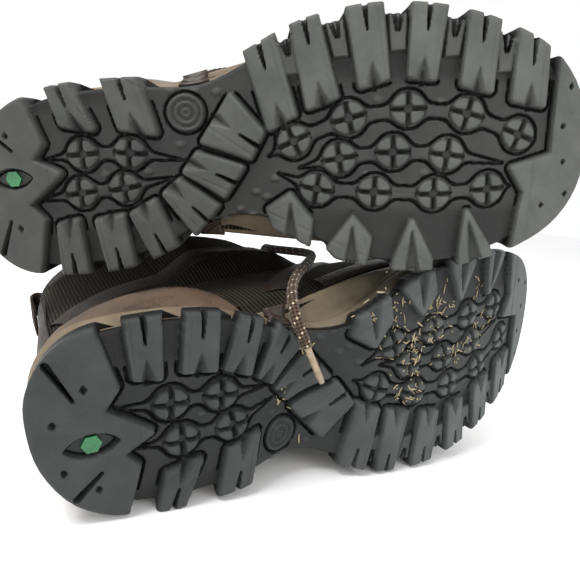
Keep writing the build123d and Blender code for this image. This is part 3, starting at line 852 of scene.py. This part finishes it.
def sole_mesh():
    """The whole rubber sole as a height field over the plan, with its side walls."""
    outline = [tuple(p) for p in closed_curve(SOLE_OUTLINE, 4)]
    xs = np.arange(8.0, 306.0, GRID)
    ys = np.arange(-63.0, 58.5, GRID)
    px, py = np.meshgrid(xs, ys, indexing="ij")

    def rim(x, y):
        edge = polygon_distance(x, y, outline)
        return np.maximum(edge, np.minimum(lug_distance(x, y) - 0.6, edge + NOTCH))

    px, py, _ = snapped(px, py, lug_distance, 0.27)
    px, py, on_rim = snapped(px, py, rim, 0.31)
    from_rim = rim(px, py)
    keep_point = (from_rim < 0.02) | on_rim
    depth = tread_plan(px, py) + 0.8 * ease(1 + from_rim / 1.2)

    index = -np.ones(px.shape, int)
    index[keep_point] = np.arange(keep_point.sum())
    verts = np.stack([px, py, tread(px) + depth], -1)[keep_point]
    shown = depth[keep_point]
    corner = [index[:-1, :-1], index[1:, :-1], index[1:, 1:], index[:-1, 1:]]
    faces = []
    for quad in np.stack(corner, -1).reshape(-1, 4):
        found = [int(k) for k in quad if k >= 0]
        if len(found) >= 3:
            faces.append(tuple(found[::-1]))
    return verts, faces, shown


def build_outsole(side, shape):
    """The rubber sole: the height field, then walls up to the plate and a lip under the midsole."""
    verts, faces, shown = shape
    mesh = bmesh.new()
    # The depth under the tread face, kept for the rubber's painted shade.
    level = mesh.verts.layers.float.new("depth")
    points = []
    for place, value in zip(verts, shown):
        point = mesh.verts.new(place)
        point[level] = value
        points.append(point)
    for face in faces:
        mesh.faces.new([points[k] for k in face])
    bmesh.ops.delete(mesh, geom=[v for v in mesh.verts if not v.link_faces], context="VERTS")
    for rise, inset in ((PLATE_TOP, 0.985), (PLATE_TOP, 0.90)):
        edges = [e for e in mesh.edges if e.is_boundary]
        made = bmesh.ops.extrude_edge_only(mesh, edges=edges)
        for point in (g for g in made["geom"] if isinstance(g, bmesh.types.BMVert)):
            middle = Vector((150, centre_line(150), 0))
            point.co.x = middle.x + (point.co.x - middle.x) * inset
            point.co.y = middle.y + (point.co.y - middle.y) * inset
            point.co.z = float(tread(point.co.x)) + rise
            # Depth 8 gives the walls and the lip under the midsole the dark painted shade of the rubber's
            # ramp.
            point[level] = 8.0
    bmesh.ops.recalc_face_normals(mesh, faces=mesh.faces)
    data = bpy.data.meshes.new(side + "_tread")
    mesh.to_mesh(data)
    mesh.free()
    piece = place_mesh(data, side, sharp_degrees=38)
    finish_piece(piece, side, "rubber", "outsole")


SOLE_SHAPE = sole_mesh()
for side in SIDES:
    build_outsole(side, SOLE_SHAPE)

# ---------------------------------------------------------------- midsole

MIDSOLE_LEVELS = 22
WAIST_X = 121              # middle of the dark block
RING = closed_curve(SOLE_OUTLINE, 6)
RING_ALONG = np.roll(RING, -1, 0) - np.roll(RING, 1, 0)
RING_LENGTHS = np.linalg.norm(RING_ALONG, axis=1)[:, None]
RING_INWARD = np.stack([RING_ALONG[:, 1], -RING_ALONG[:, 0]], 1) / RING_LENGTHS


def midsole_point(index, share, proud=0.0):
    """A point of the midsole's flank: share 0 is the rubber plate, 1 the line where the upper starts."""
    bulge = 5.0 - 2.4 * math.sin(math.pi * min(1.0, share / 0.75)) - proud
    crease = 0.9 * math.exp(-((share - 0.52) / 0.045) ** 2) + 0.6 * math.exp(-((share - 0.16) / 0.03) ** 2)
    x, y = RING[index]
    low = RING[index] + RING_INWARD[index] * (bulge + crease)
    z_low = float(tread(x)) + PLATE_TOP - 0.6
    z_high = between(x, FEATHER_LINE) + 1.2
    along = min(1.0, max(0.0, (x - 10) / 293))
    angle = math.copysign(math.acos(1 - 2 * along), y - centre_line(x))
    seat = upper_point(z_high, angle, -1.4 - proud)
    turn_in = float(ease((share - 0.52) / 0.48)) ** 1.3
    return (low[0] + (seat.x - low[0]) * turn_in, low[1] + (seat.y - low[1]) * turn_in,
            z_low + (z_high - z_low) * share)


def build_midsole(side):
    """The foam midsole with its closed top, and the dark blocks on its flanks."""
    shares = [k / (MIDSOLE_LEVELS - 1) for k in range(MIDSOLE_LEVELS)]
    count = len(RING)
    verts = [midsole_point(i, share) for share in shares for i in range(count)]
    faces = sheet_faces(MIDSOLE_LEVELS, count, closed=True)
    for shrink_by in (0.9, 0.6):
        ring = verts[-count:]
        middle = np.mean(ring, 0)
        start = len(verts) - count
        verts += [(middle[0] + (x - middle[0]) * shrink_by, middle[1] + (y - middle[1]) * shrink_by, z - 1.0)
                  for x, y, z in ring]
        faces += moved_faces(sheet_faces(2, count, closed=True), start)
    piece = add_mesh(side + "_midsole_foam", side, verts, faces)
    finish_piece(piece, side, "foam", "midsole")

    # The dark block moulded across the waist, flared where it meets the upper.
    for flank, word in FLANKS:
        near = [i for i in range(count) if abs(RING[i][0] - WAIST_X) < 9]
        chosen = [i for i in near if (RING[i][1] > 0) == (flank > 0)]
        chosen.sort(key=lambda i: RING[i][0])
        rows = []
        for share in shares[:-1]:
            spread = 0.55 + 0.45 * abs(2 * share - 1)
            rows.append([midsole_point(i, share, 1.3) for i in chosen])
            for k, i in enumerate(chosen):
                x, y, z = rows[-1][k]
                rows[-1][k] = (WAIST_X + (x - WAIST_X) * spread, y, z)
        verts = [p for row in rows for p in row]
        faces = sheet_faces(len(rows), len(chosen))
        block = add_mesh(f"{side}_waist_block_{word}", side, verts, faces)
        thick = block.modifiers.new("thick", "SOLIDIFY")
        thick.thickness = 2.0 * MM
        thick.offset = 0.0
        finish_piece(block, side, "block", "arch_block")


for side in SIDES:
    build_midsole(side)

# ---------------------------------------------------------------- strips, stitches and padded pieces

DARK = "dark_leather"


def ankle_rise(x, z):
    """How far the soft ankle panel between the counter and the throat stands out."""
    along = float(ease((x - 84) / 30) * ease((184 - 0.35 * (z - 96) - x) / 30))
    return -0.4 + 11.0 * along * float(ease((z - 80) / 22) * ease((166 - z) / 26))


def on_strap(x, z):
    return 1.25 + max(0.0, ankle_rise(x, z))


def seam_path(points, flank, out, pitch=2.0):
    """A smooth line on the skin of one flank through side-view points (x, z)."""
    flat = [(p.x, p.y) for p in smooth_path([(x, z, 0) for x, z in points])]
    skin = [flank_point(x, z, flank, out(x, z) if callable(out) else out) for x, z in flat]
    return resample(skin, pitch)


# A strip's section: shares of its width and of its rise.
STRIP_PROFILE = [
    (-0.5, -0.6), (-0.47, 0.35), (-0.36, 0.85), (-0.18, 1.0), (0.0, 1.03),
    (0.18, 1.0), (0.36, 0.85), (0.47, 0.35), (0.5, -0.6),
]


def strip(name, side, flank, points, width, rise, material):
    """A flat leather or tape strip with rounded edges, laid along a line on one flank."""
    path = seam_path(points, flank, 0.0)
    verts = []
    for k, (point, _) in enumerate(path):
        before = path[max(0, k - 1)][0]
        after = path[min(len(path) - 1, k + 1)][0]
        along = (after - before).normalized()
        lean = -1 if point.x < 20 else 1 if point.x >= 250 else 0
        outward = Vector((lean, flank, 0))
        across = along.cross(outward).normalized()
        outward = across.cross(along).normalized()
        for share, lift in STRIP_PROFILE:
            spot = point + across * (share * width)
            x, z = spot.x, max(19.0, min(170.0, spot.z))
            skin = flank_point(x, z, flank, max(0.0, ankle_rise(x, z)))
            verts.append(skin + outward * (lift * rise))
    faces = sheet_faces(len(path), len(STRIP_PROFILE))
    piece = add_mesh(name, side, verts, faces)
    finish_piece(piece, side, material)


def stitch_row(rows, side, name):
    """Separate stitches, each a small rounded bar, along seam paths given as (flank, points, out)."""
    verts, faces = [], []
    for flank, points, out in rows:
        path = seam_path(points, flank, out, 3.1)
        for (start, _), (end, _) in zip(path, path[1:]):
            along = end - start
            middle = (start + end) / 2
            across = along.cross(Vector((0, flank, 0))).normalized()
            lift = across.cross(along).normalized()
            base = len(verts)
            for share, size in ((-0.34, 0.10), (-0.25, 0.30), (0.0, 0.38), (0.25, 0.30), (0.34, 0.10)):
                for j in range(6):
                    turn = math.pi * j / 3
                    verts.append(middle + along * share + across * (0.8 * size * math.cos(turn))
                                 + lift * (size * math.sin(turn)))
            faces += moved_faces(sheet_faces(5, 6, closed=True) + end_faces(30, 6), base)
    piece = add_mesh(name, side, verts, faces)
    finish_piece(piece, side, "dark_thread")


def inflate(piece, voxel_mm, pressure, cap_mm):
    """Swells a closed shape as stuffed cloth: remesh, cloth pressure, capped motion, subdivision."""
    bpy.context.view_layer.objects.active = piece
    remesh = piece.modifiers.new("remesh", "REMESH")
    remesh.mode = "VOXEL"
    remesh.voxel_size = voxel_mm * MM
    remesh.use_smooth_shade = True
    bpy.ops.object.modifier_apply(modifier=remesh.name)
    before = np.array([v.co for v in piece.data.vertices])
    cloth = piece.modifiers.new("cloth", "CLOTH")
    cloth.settings.use_pressure = True
    cloth.settings.uniform_pressure_force = pressure
    cloth.settings.effector_weights.gravity = 0
    cloth.settings.tension_stiffness = 20
    cloth.settings.bending_stiffness = 1.0
    for number in range(1, 21):
        bpy.context.scene.frame_set(number)
    shape = piece.evaluated_get(bpy.context.evaluated_depsgraph_get()).data
    after = np.array([v.co for v in shape.vertices])
    piece.modifiers.remove(cloth)
    bpy.context.scene.frame_set(1)
    move = after - before
    length = np.linalg.norm(move, axis=1)[:, None]
    move *= np.minimum(1.0, cap_mm * MM / np.maximum(length, 1e-9))
    piece.data.vertices.foreach_set("co", (before + move).ravel())
    soft = piece.modifiers.new("soft", "SUBSURF")
    soft.levels = 1
    soft.render_levels = 1
    bpy.ops.object.modifier_apply(modifier=soft.name)
    for polygon in piece.data.polygons:
        polygon.use_smooth = True


# ---------------------------------------------------------------- upper

COLLAR_EDGE = [(126, 168), (110, 164), (84, 160), (60, 156), (44, 153), (34, 152)]
THROAT_EDGE = [(196, 88), (186, 104), (177, 122), (167, 146), (160, 166)]
COUNTER_EDGE = [(21, 60), (34, 73), (50, 81), (68, 84.5), (86, 82), (98, 74), (105, 58), (107, 34)]


def shifted(points, dx, dz):
    return [(x + dx, z + dz) for x, z in points]


def swell(share):
    """Height of a stuffed panel across its width, from 0 at one edge to 0 at the other."""
    return math.sin(math.pi * min(1.0, max(0.0, share))) ** 0.6


def counter_rise(x, z):
    """How far the soft heel counter stands out from the upper."""
    low = between(x, FEATHER_LINE)
    height = max(6.0, between(x, COUNTER_EDGE) - low)
    fade = float(ease((x - 2) / 34) * ease((112 - x) / 22))
    return 0.5 + (1.6 + 5.6 * fade) * swell(0.12 + 0.82 * (z - low) / height) * fade ** 0.3


def flank_pad(name, side, flank, spans, rise, material):
    """A soft panel on one flank: columns of (x, low z, high z), skinned at rise(x, z)."""
    rows = 26
    outer, inner = [], []
    for x, low, high in spans:
        for i in range(rows):
            z = low + (high - low) * i / (rows - 1)
            edge = float(ease(min(i, rows - 1 - i) / 1.5))
            outer.append(flank_point(x, z, flank, -0.6 + (rise(x, z) + 0.6) * edge))
            inner.append(flank_point(x, z, flank, -1.0))
    faces = shell_faces(len(spans), rows)
    piece = add_mesh(name, side, outer + inner, faces)
    finish_piece(piece, side, material)


def build_flank_pads(side):
    for flank, word in FLANKS:
        spans = []
        for k in range(70):
            x = 21 + 86 * k / 69
            spans.append((x, between(x, FEATHER_LINE) + 1.0, between(x, COUNTER_EDGE) - 0.6))
        flank_pad(f"{side}_counter_pad_{word}", side, flank, spans, counter_rise, "worn_leather")
        spans = []
        for k in range(60):
            x = 88 + 80 * k / 59
            spans.append((x, 84.0, min(164.0, 164 - 1.4 * max(0.0, x - 150))))
        flank_pad(f"{side}_ankle_pad_{word}", side, flank, spans, ankle_rise, "mesh")


# Strips on each flank: name, side-view line, width, rise, finish.
STRIPS = [
    ("eyestay", shifted(THROAT_EDGE, -6, -2), 15, 1.4, "leather"),
    ("collar_band", shifted(COLLAR_EDGE, 0, -7), 11, 1.3, DARK),
    ("ankle_strap", [(178, 110), (150, 112), (118, 108), (84, 99), (50, 94), (32, 84)], 17, 1.5, DARK),
    ("waist_strap", [(186, 92), (168, 76), (148, 60), (137, 48), (133, 40)], 20, 1.5, DARK),
    ("counter_piping", COUNTER_EDGE, 3.2, 1.7, DARK),
    ("rand", [(152, 36), (180, 40), (214, 42), (248, 45), (268, 47)], 9, 1.3, DARK),
]
# Rows of stitches on each flank: side-view line, height over the upper.
SEAMS = [
    (shifted(COUNTER_EDGE[1:-1], 0, -2.6), counter_rise),
    (shifted(COUNTER_EDGE[1:-1], 0, -5.0), counter_rise),
    (shifted(THROAT_EDGE, -1.0, -2), on_strap),
    (shifted(THROAT_EDGE, -11.2, -2), on_strap),
    (shifted(COLLAR_EDGE, 0, -10.6), 1.1),
    ([(258, 44), (255, 56), (253, 70), (251, 80)], 0.15),
    ([(255, 44), (252, 56), (250, 70), (248, 80)], 0.15),
    ([(178, 115.5), (150, 117.5), (118, 113.5), (86, 104)], on_strap),
    ([(176, 104.5), (150, 106.5), (118, 102.5), (86, 93.5)], on_strap),
]


def build_upper_trims(side):
    for flank, word in FLANKS:
        for name, line, width, rise, material in STRIPS:
            strip(f"{side}_{name}_{word}", side, flank, line, width, rise, material)
        rows = [(flank, line, out) for line, out in SEAMS]
        stitch_row(rows, side, f"{side}_stitches_{word}")


for side in SIDES:
    build_upper_trims(side)
    build_flank_pads(side)

KEPT = {
    "heel_gem": "gem", "shank": "steel", "lasting_board": "board", "toe_cap": "leather",
    "toe_puff": "stiffener", "vamp": "mesh", "heel_counter": "leather", "heel_stiffener": "stiffener",
    "medial_quarter": "mesh",
    "lateral_quarter": "mesh", "lining": "lining", "eyelets": "metal", "lace_hooks": "metal",
    "heel_strap": "dark_leather",
}
for side in SIDES:
    for node_name, finish in KEPT.items():
        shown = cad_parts[f"{side}_{node_name}"]
        shown.data.materials.clear()
        shown.data.materials.append(MATERIALS[side][finish])


COLLAR_HALF_WIDTH = 3.6
COLLAR_HALF_HEIGHT = 9.5
TONGUE_LOW, TONGUE_HIGH = 93, 168
TONGUE_INSET = 8.5         # from the skin of the upper to the middle of the tongue


def rounded(value):
    """Makes a circle's sine or cosine slightly square."""
    return math.copysign(abs(value) ** 0.8, value)


def build_collar(side):
    """The padded collar: a rolled pad from one side of the throat round the heel to the other."""
    stations = 64
    around = 18
    verts = []
    start = math.acos(1 - 2 * (122 - 28) / 136)
    for k in range(stations):
        turn = -start + 2 * start * k / (stations - 1)
        fade = float(ease(min(k, stations - 1 - k) / 3.0)) * 0.6 + 0.4
        rim = upper_point(156, turn, 4.0)
        height = between(rim.x, [(-10, 152), (20, 152), (60, 156), (110, 164), (126, 168)])
        skin = upper_point(min(169.0, height - 7), turn, 8.2)
        inward = (upper_point(150, turn, 14.0) - upper_point(150, turn, 4.0)).normalized()
        quilting = 1.0 - 0.10 * max(0.0, math.cos(turn * 7)) ** 8
        for j in range(around):
            a = 2 * math.pi * j / around
            wide = COLLAR_HALF_WIDTH * fade * quilting * rounded(math.cos(a))
            tall = COLLAR_HALF_HEIGHT * rounded(math.sin(a))
            verts.append(Vector((skin.x, skin.y, height - 7 + tall)) + inward * (wide + 0.04 * abs(tall)))
    faces = sheet_faces(stations, around, closed=True)
    faces += end_faces(len(verts), around)
    piece = add_mesh(side + "_collar", side, verts, faces)
    inflate(piece, 4.0, 4.0, 1.6)
    finish_piece(piece, side, "collar", "collar_pad")


def build_tongue(side):
    """The padded tongue: a curved pad behind the laces, quilted across."""
    rows, columns = 40, 21
    front, back = [], []
    for i in range(rows):
        z = TONGUE_LOW + (TONGUE_HIGH - TONGUE_LOW) * i / (rows - 1)
        half = 16.5 + 5.0 * float(ease(i / (rows - 1))) - 3.0 * float(ease((i - rows + 4) / 4))
        for j in range(columns):
            share = -1 + 2 * j / (columns - 1)
            y_offset = share * half
            reach = upper_section(z)[3] - TONGUE_INSET
            sine = min(1.0, abs(y_offset) / reach) ** (1 / 0.75)
            angle = math.pi - math.asin(sine)
            skin = upper_point(z, math.copysign(angle, y_offset if y_offset else 1), TONGUE_INSET)
            puff = (1 - share ** 4) * (1 - (2 * i / (rows - 1) - 1) ** 8)
            quilt = 1 - 0.35 * max(0.0, math.cos(2 * math.pi * i / 9.75)) ** 6
            front.append(skin + Vector((0.2 + 1.9 * puff * quilt, 0, 0)))
            back.append(skin - Vector((0.4 + 1.5 * puff, 0, 0)))
    piece = add_mesh(side + "_tongue_pad", side, front + back, shell_faces(rows, columns))
    inflate(piece, 4.0, 3.0, 0.8)
    finish_piece(piece, side, "tongue", "tongue", "tongue_body")


def build_footbed(side):
    """The foam footbed inside: dished at the heel, its edge rounded."""
    around = 72
    levels = [(0.0, -0.4), (0.0, 3.6), (1.2, 4.9), (5.0, 4.4), (12.0, 3.7), (22.0, 3.5), (31.0, 3.5)]
    verts = []
    for inset, height in levels:
        for k in range(around):
            turn = -math.pi + 2 * math.pi * k / around
            point = upper_point(42, turn, 5.6 + inset)
            floor = between(point.x, FEATHER_LINE) + 2.4
            verts.append((point.x, point.y, floor + height))
    faces = sheet_faces(len(levels), around, closed=True)
    faces.append(tuple(range(len(verts) - around, len(verts))))
    piece = add_mesh(side + "_insole", side, verts, faces)
    finish_piece(piece, side, "footbed", "footbed")


# The tape's section, as shares of its half width and as heights, and its line up and over the collar.
TAPE_PROFILE = [
    (-1, 0), (-0.94, 0.7), (-0.5, 0.8), (0, 0.8), (0.5, 0.8), (0.94, 0.7),
    (1, 0), (0.94, -0.7), (0.5, -0.8), (0, -0.8), (-0.5, -0.8), (-0.94, -0.7),
]
TAPE_LINE = [
    (24.0, 0, 140), (23.8, 0, 156), (23.8, 0, 171), (26.2, 0, 177.6), (30.2, 0, 176.8), (31.4, 0, 171),
    (31.4, 0, 165),
]
TAPE_HALF_WIDTH = 7.8
TAPE_MIDDLE = 3.0


def build_pull_loop(side):
    """The webbing loop at the back of the collar."""
    path = resample(smooth_path(TAPE_LINE), 1.2)
    verts = []
    for k, (point, _) in enumerate(path):
        along = (path[min(len(path) - 1, k + 1)][0] - path[max(0, k - 1)][0]).normalized()
        out = along.cross(Vector((0, 1, 0))).normalized()
        for share, lift in TAPE_PROFILE:
            verts.append(point + Vector((0, TAPE_MIDDLE + share * TAPE_HALF_WIDTH, 0)) + out * lift)
    around = len(TAPE_PROFILE)
    faces = sheet_faces(len(path), around, closed=True) + end_faces(len(verts), around)
    piece = add_mesh(side + "_pull_tab", side, verts, faces)
    finish_piece(piece, side, "webbing", "pull_loop", "pull_loop_body")


for side in SIDES:
    build_collar(side)
    build_tongue(side)
    build_footbed(side)
    build_pull_loop(side)

# ---------------------------------------------------------------- laces across the throat

EYE_OFFSET = 20.0
EYE_HEIGHTS = (101.0, 111.0, 121.0, 133.0, 146.0, 158.0)
LOWER_STRAND = 4.2
UPPER_STRAND = LOWER_STRAND + 2 * LACE_RADIUS + 0.4
KNOT_SIZE = 1.45


def front_x(z, y_offset):
    """X of the upper's front at height z, y_offset to the side of the middle."""
    ball_half = upper_section(z)[3]
    sine = min(1.0, abs(y_offset) / ball_half) ** (1 / 0.75)
    return upper_point(z, math.pi - math.asin(sine)).x


def lace_point(z, y_offset, out):
    """A point over the front of the upper, raised by out along its normal."""
    x = front_x(z, y_offset)
    slope = front_x(z + 4, y_offset) - front_x(z - 4, y_offset)
    normal = Vector((8, 0, -slope)).normalized() + Vector((0, 0.55 * y_offset / EYE_OFFSET, 0))
    return Vector((x, centre_line(x) + y_offset, z)) + normal.normalized() * out


def build_lacing(side):
    runs = []
    for first, lift in ((1, LOWER_STRAND), (-1, UPPER_STRAND)):
        for step, (low, high) in enumerate(zip(EYE_HEIGHTS, EYE_HEIGHTS[1:])):
            flank = first * (-1) ** step
            rise = (high - low - 4) / 5
            half = [(1.2, EYE_OFFSET, -0.5), (1.8, EYE_OFFSET - 0.6, 4.0),
                    (2 + rise, 11, lift), (2 + 2 * rise, 3, lift + 0.3)]
            runs.append([lace_point(low + up, flank * aside, out) for up, aside, out in half]
                        + [lace_point(high - up, -flank * aside, out) for up, aside, out in reversed(half)])
    top = EYE_HEIGHTS[-1]
    knot = lace_point(top + 9, 0, 3.5)
    for flank in (1, -1):
        runs.append([
            lace_point(top + 1.2, flank * EYE_OFFSET, -0.5),
            lace_point(top + 2.5, flank * (EYE_OFFSET - 1), 4.2),
            lace_point(top + 5, flank * 11, 5.0),
            knot + Vector((0, 5.0 * flank, 0)), knot + Vector((0, 1.0 * flank, 0)),
        ])
    for number, points in enumerate(runs, 1):
        piece, _ = braid(f"{side}_lace_run_{number}", side, points)
        finish_piece(piece, side, "lace", "lace")
    trefoil = []
    for k in range(25):
        t = 2 * math.pi * k / 24
        aside = math.sin(t) + 2 * math.sin(2 * t)
        up = math.cos(t) - 2 * math.cos(2 * t)
        trefoil.append(knot + Vector((1.3 * math.sin(3 * t), KNOT_SIZE * aside, KNOT_SIZE * up)))
    piece, _ = braid(f"{side}_lace_knot", side, trefoil, LACE_RADIUS * 0.92)
    finish_piece(piece, side, "lace", "lace")


for side in SIDES:
    build_lacing(side)

# ---------------------------------------------------------------- dried grass in the left tread

# Clumps: centre, spread, tries. A try that lands on the top of a lug leaves no blade.
CLUMPS = [
    ((176, 30), 16, 60), ((205, 24), 14, 52), ((190, 6), 14, 60), ((222, 2), 12, 32), ((186, -14), 10, 32),
    ((244, 12), 12, 20), ((240, 34), 8, 12), ((128, 16), 9, 20), ((122, -2), 9, 16), ((140, -24), 8, 12),
]


def scatter_grass():
    """Short dry blades pressed into the grooves of the left sole's waist and forefoot."""
    verts, faces = [], []
    for centre, spread, count in CLUMPS:
        for _ in range(count):
            x = random.gauss(centre[0], spread * 0.5)
            y = random.gauss(centre[1], spread * 0.5)
            depth = float(tread_plan(np.array([x]), np.array([y]))[0])
            if depth < 1.0:
                continue
            length = random.choice((0.9, 1.2, 1.5, 2.2, 3.4, 5.2))
            width = random.uniform(0.20, 0.42)
            heading = random.uniform(0, math.pi)
            bend = random.uniform(-0.5, 0.5)
            base = len(verts)
            for k in range(5):
                t = k / 4 - 0.5
                angle = heading + bend * t
                cx = x + math.cos(angle) * length * t
                cy = y + math.sin(angle) * length * t
                z = float(tread(cx)) + depth - 0.35 + 0.2 * math.sin(5 * t)
                half = width * (1 - (2 * abs(t)) ** 3) + 0.06
                nx, ny = -math.sin(angle) * half, math.cos(angle) * half
                verts += [(cx + nx, cy + ny, z), (cx, cy, z - 0.3), (cx - nx, cy - ny, z), (cx, cy, z + 0.35)]
            faces += moved_faces(sheet_faces(5, 4, closed=True), base)
            faces += [(base, base + 1, base + 2, base + 3), (base + 19, base + 18, base + 17, base + 16)]
    piece = add_mesh("left_dry_grass", "left", verts, faces)
    finish_piece(piece, "left", "straw")


scatter_grass()

# ---------------------------------------------------------------- floor and light

floor_mesh = bpy.data.meshes.new("floor")
floor_mesh.from_pydata([(-4, -4, 0), (4, -4, 0), (4, 4, 0), (-4, 4, 0)], [], [(0, 1, 2, 3)])
floor = bpy.data.objects.new("floor", floor_mesh)
bpy.context.scene.collection.objects.link(floor)
floor_finish, _, _ = shader("pale_floor", Base_Color=(*grey(0.93), 1.0), Roughness=0.7,
                            Specular_IOR_Level=0.2)
floor.data.materials.append(floor_finish)


def area_light(name, place, aim, size, power):
    data = bpy.data.lights.new(name, "AREA")
    data.shape = "DISK"
    data.size = size
    data.energy = power
    lamp = bpy.data.objects.new(name, data)
    lamp.location = place
    lamp.rotation_euler = (Vector(aim) - Vector(place)).to_track_quat("-Z", "Y").to_euler()
    bpy.context.scene.collection.objects.link(lamp)


area_light("key", (-0.45, -0.45, 1.05), (0, 0, 0.1), 0.45, 11.0)
area_light("fill", (0.9, -0.8, 0.7), (0, 0, 0.1), 0.8, 4.0)
area_light("back", (0.1, 0.9, 0.9), (0, 0, 0.1), 1.0, 5.0)

world = bpy.data.worlds.new("studio")
world.use_nodes = True
world.node_tree.nodes["Background"].inputs["Color"].default_value = (1.0, 1.0, 1.0, 1.0)
world.node_tree.nodes["Background"].inputs["Strength"].default_value = 1.0
bpy.context.scene.world = world
bpy.context.scene.view_settings.view_transform = "Standard"
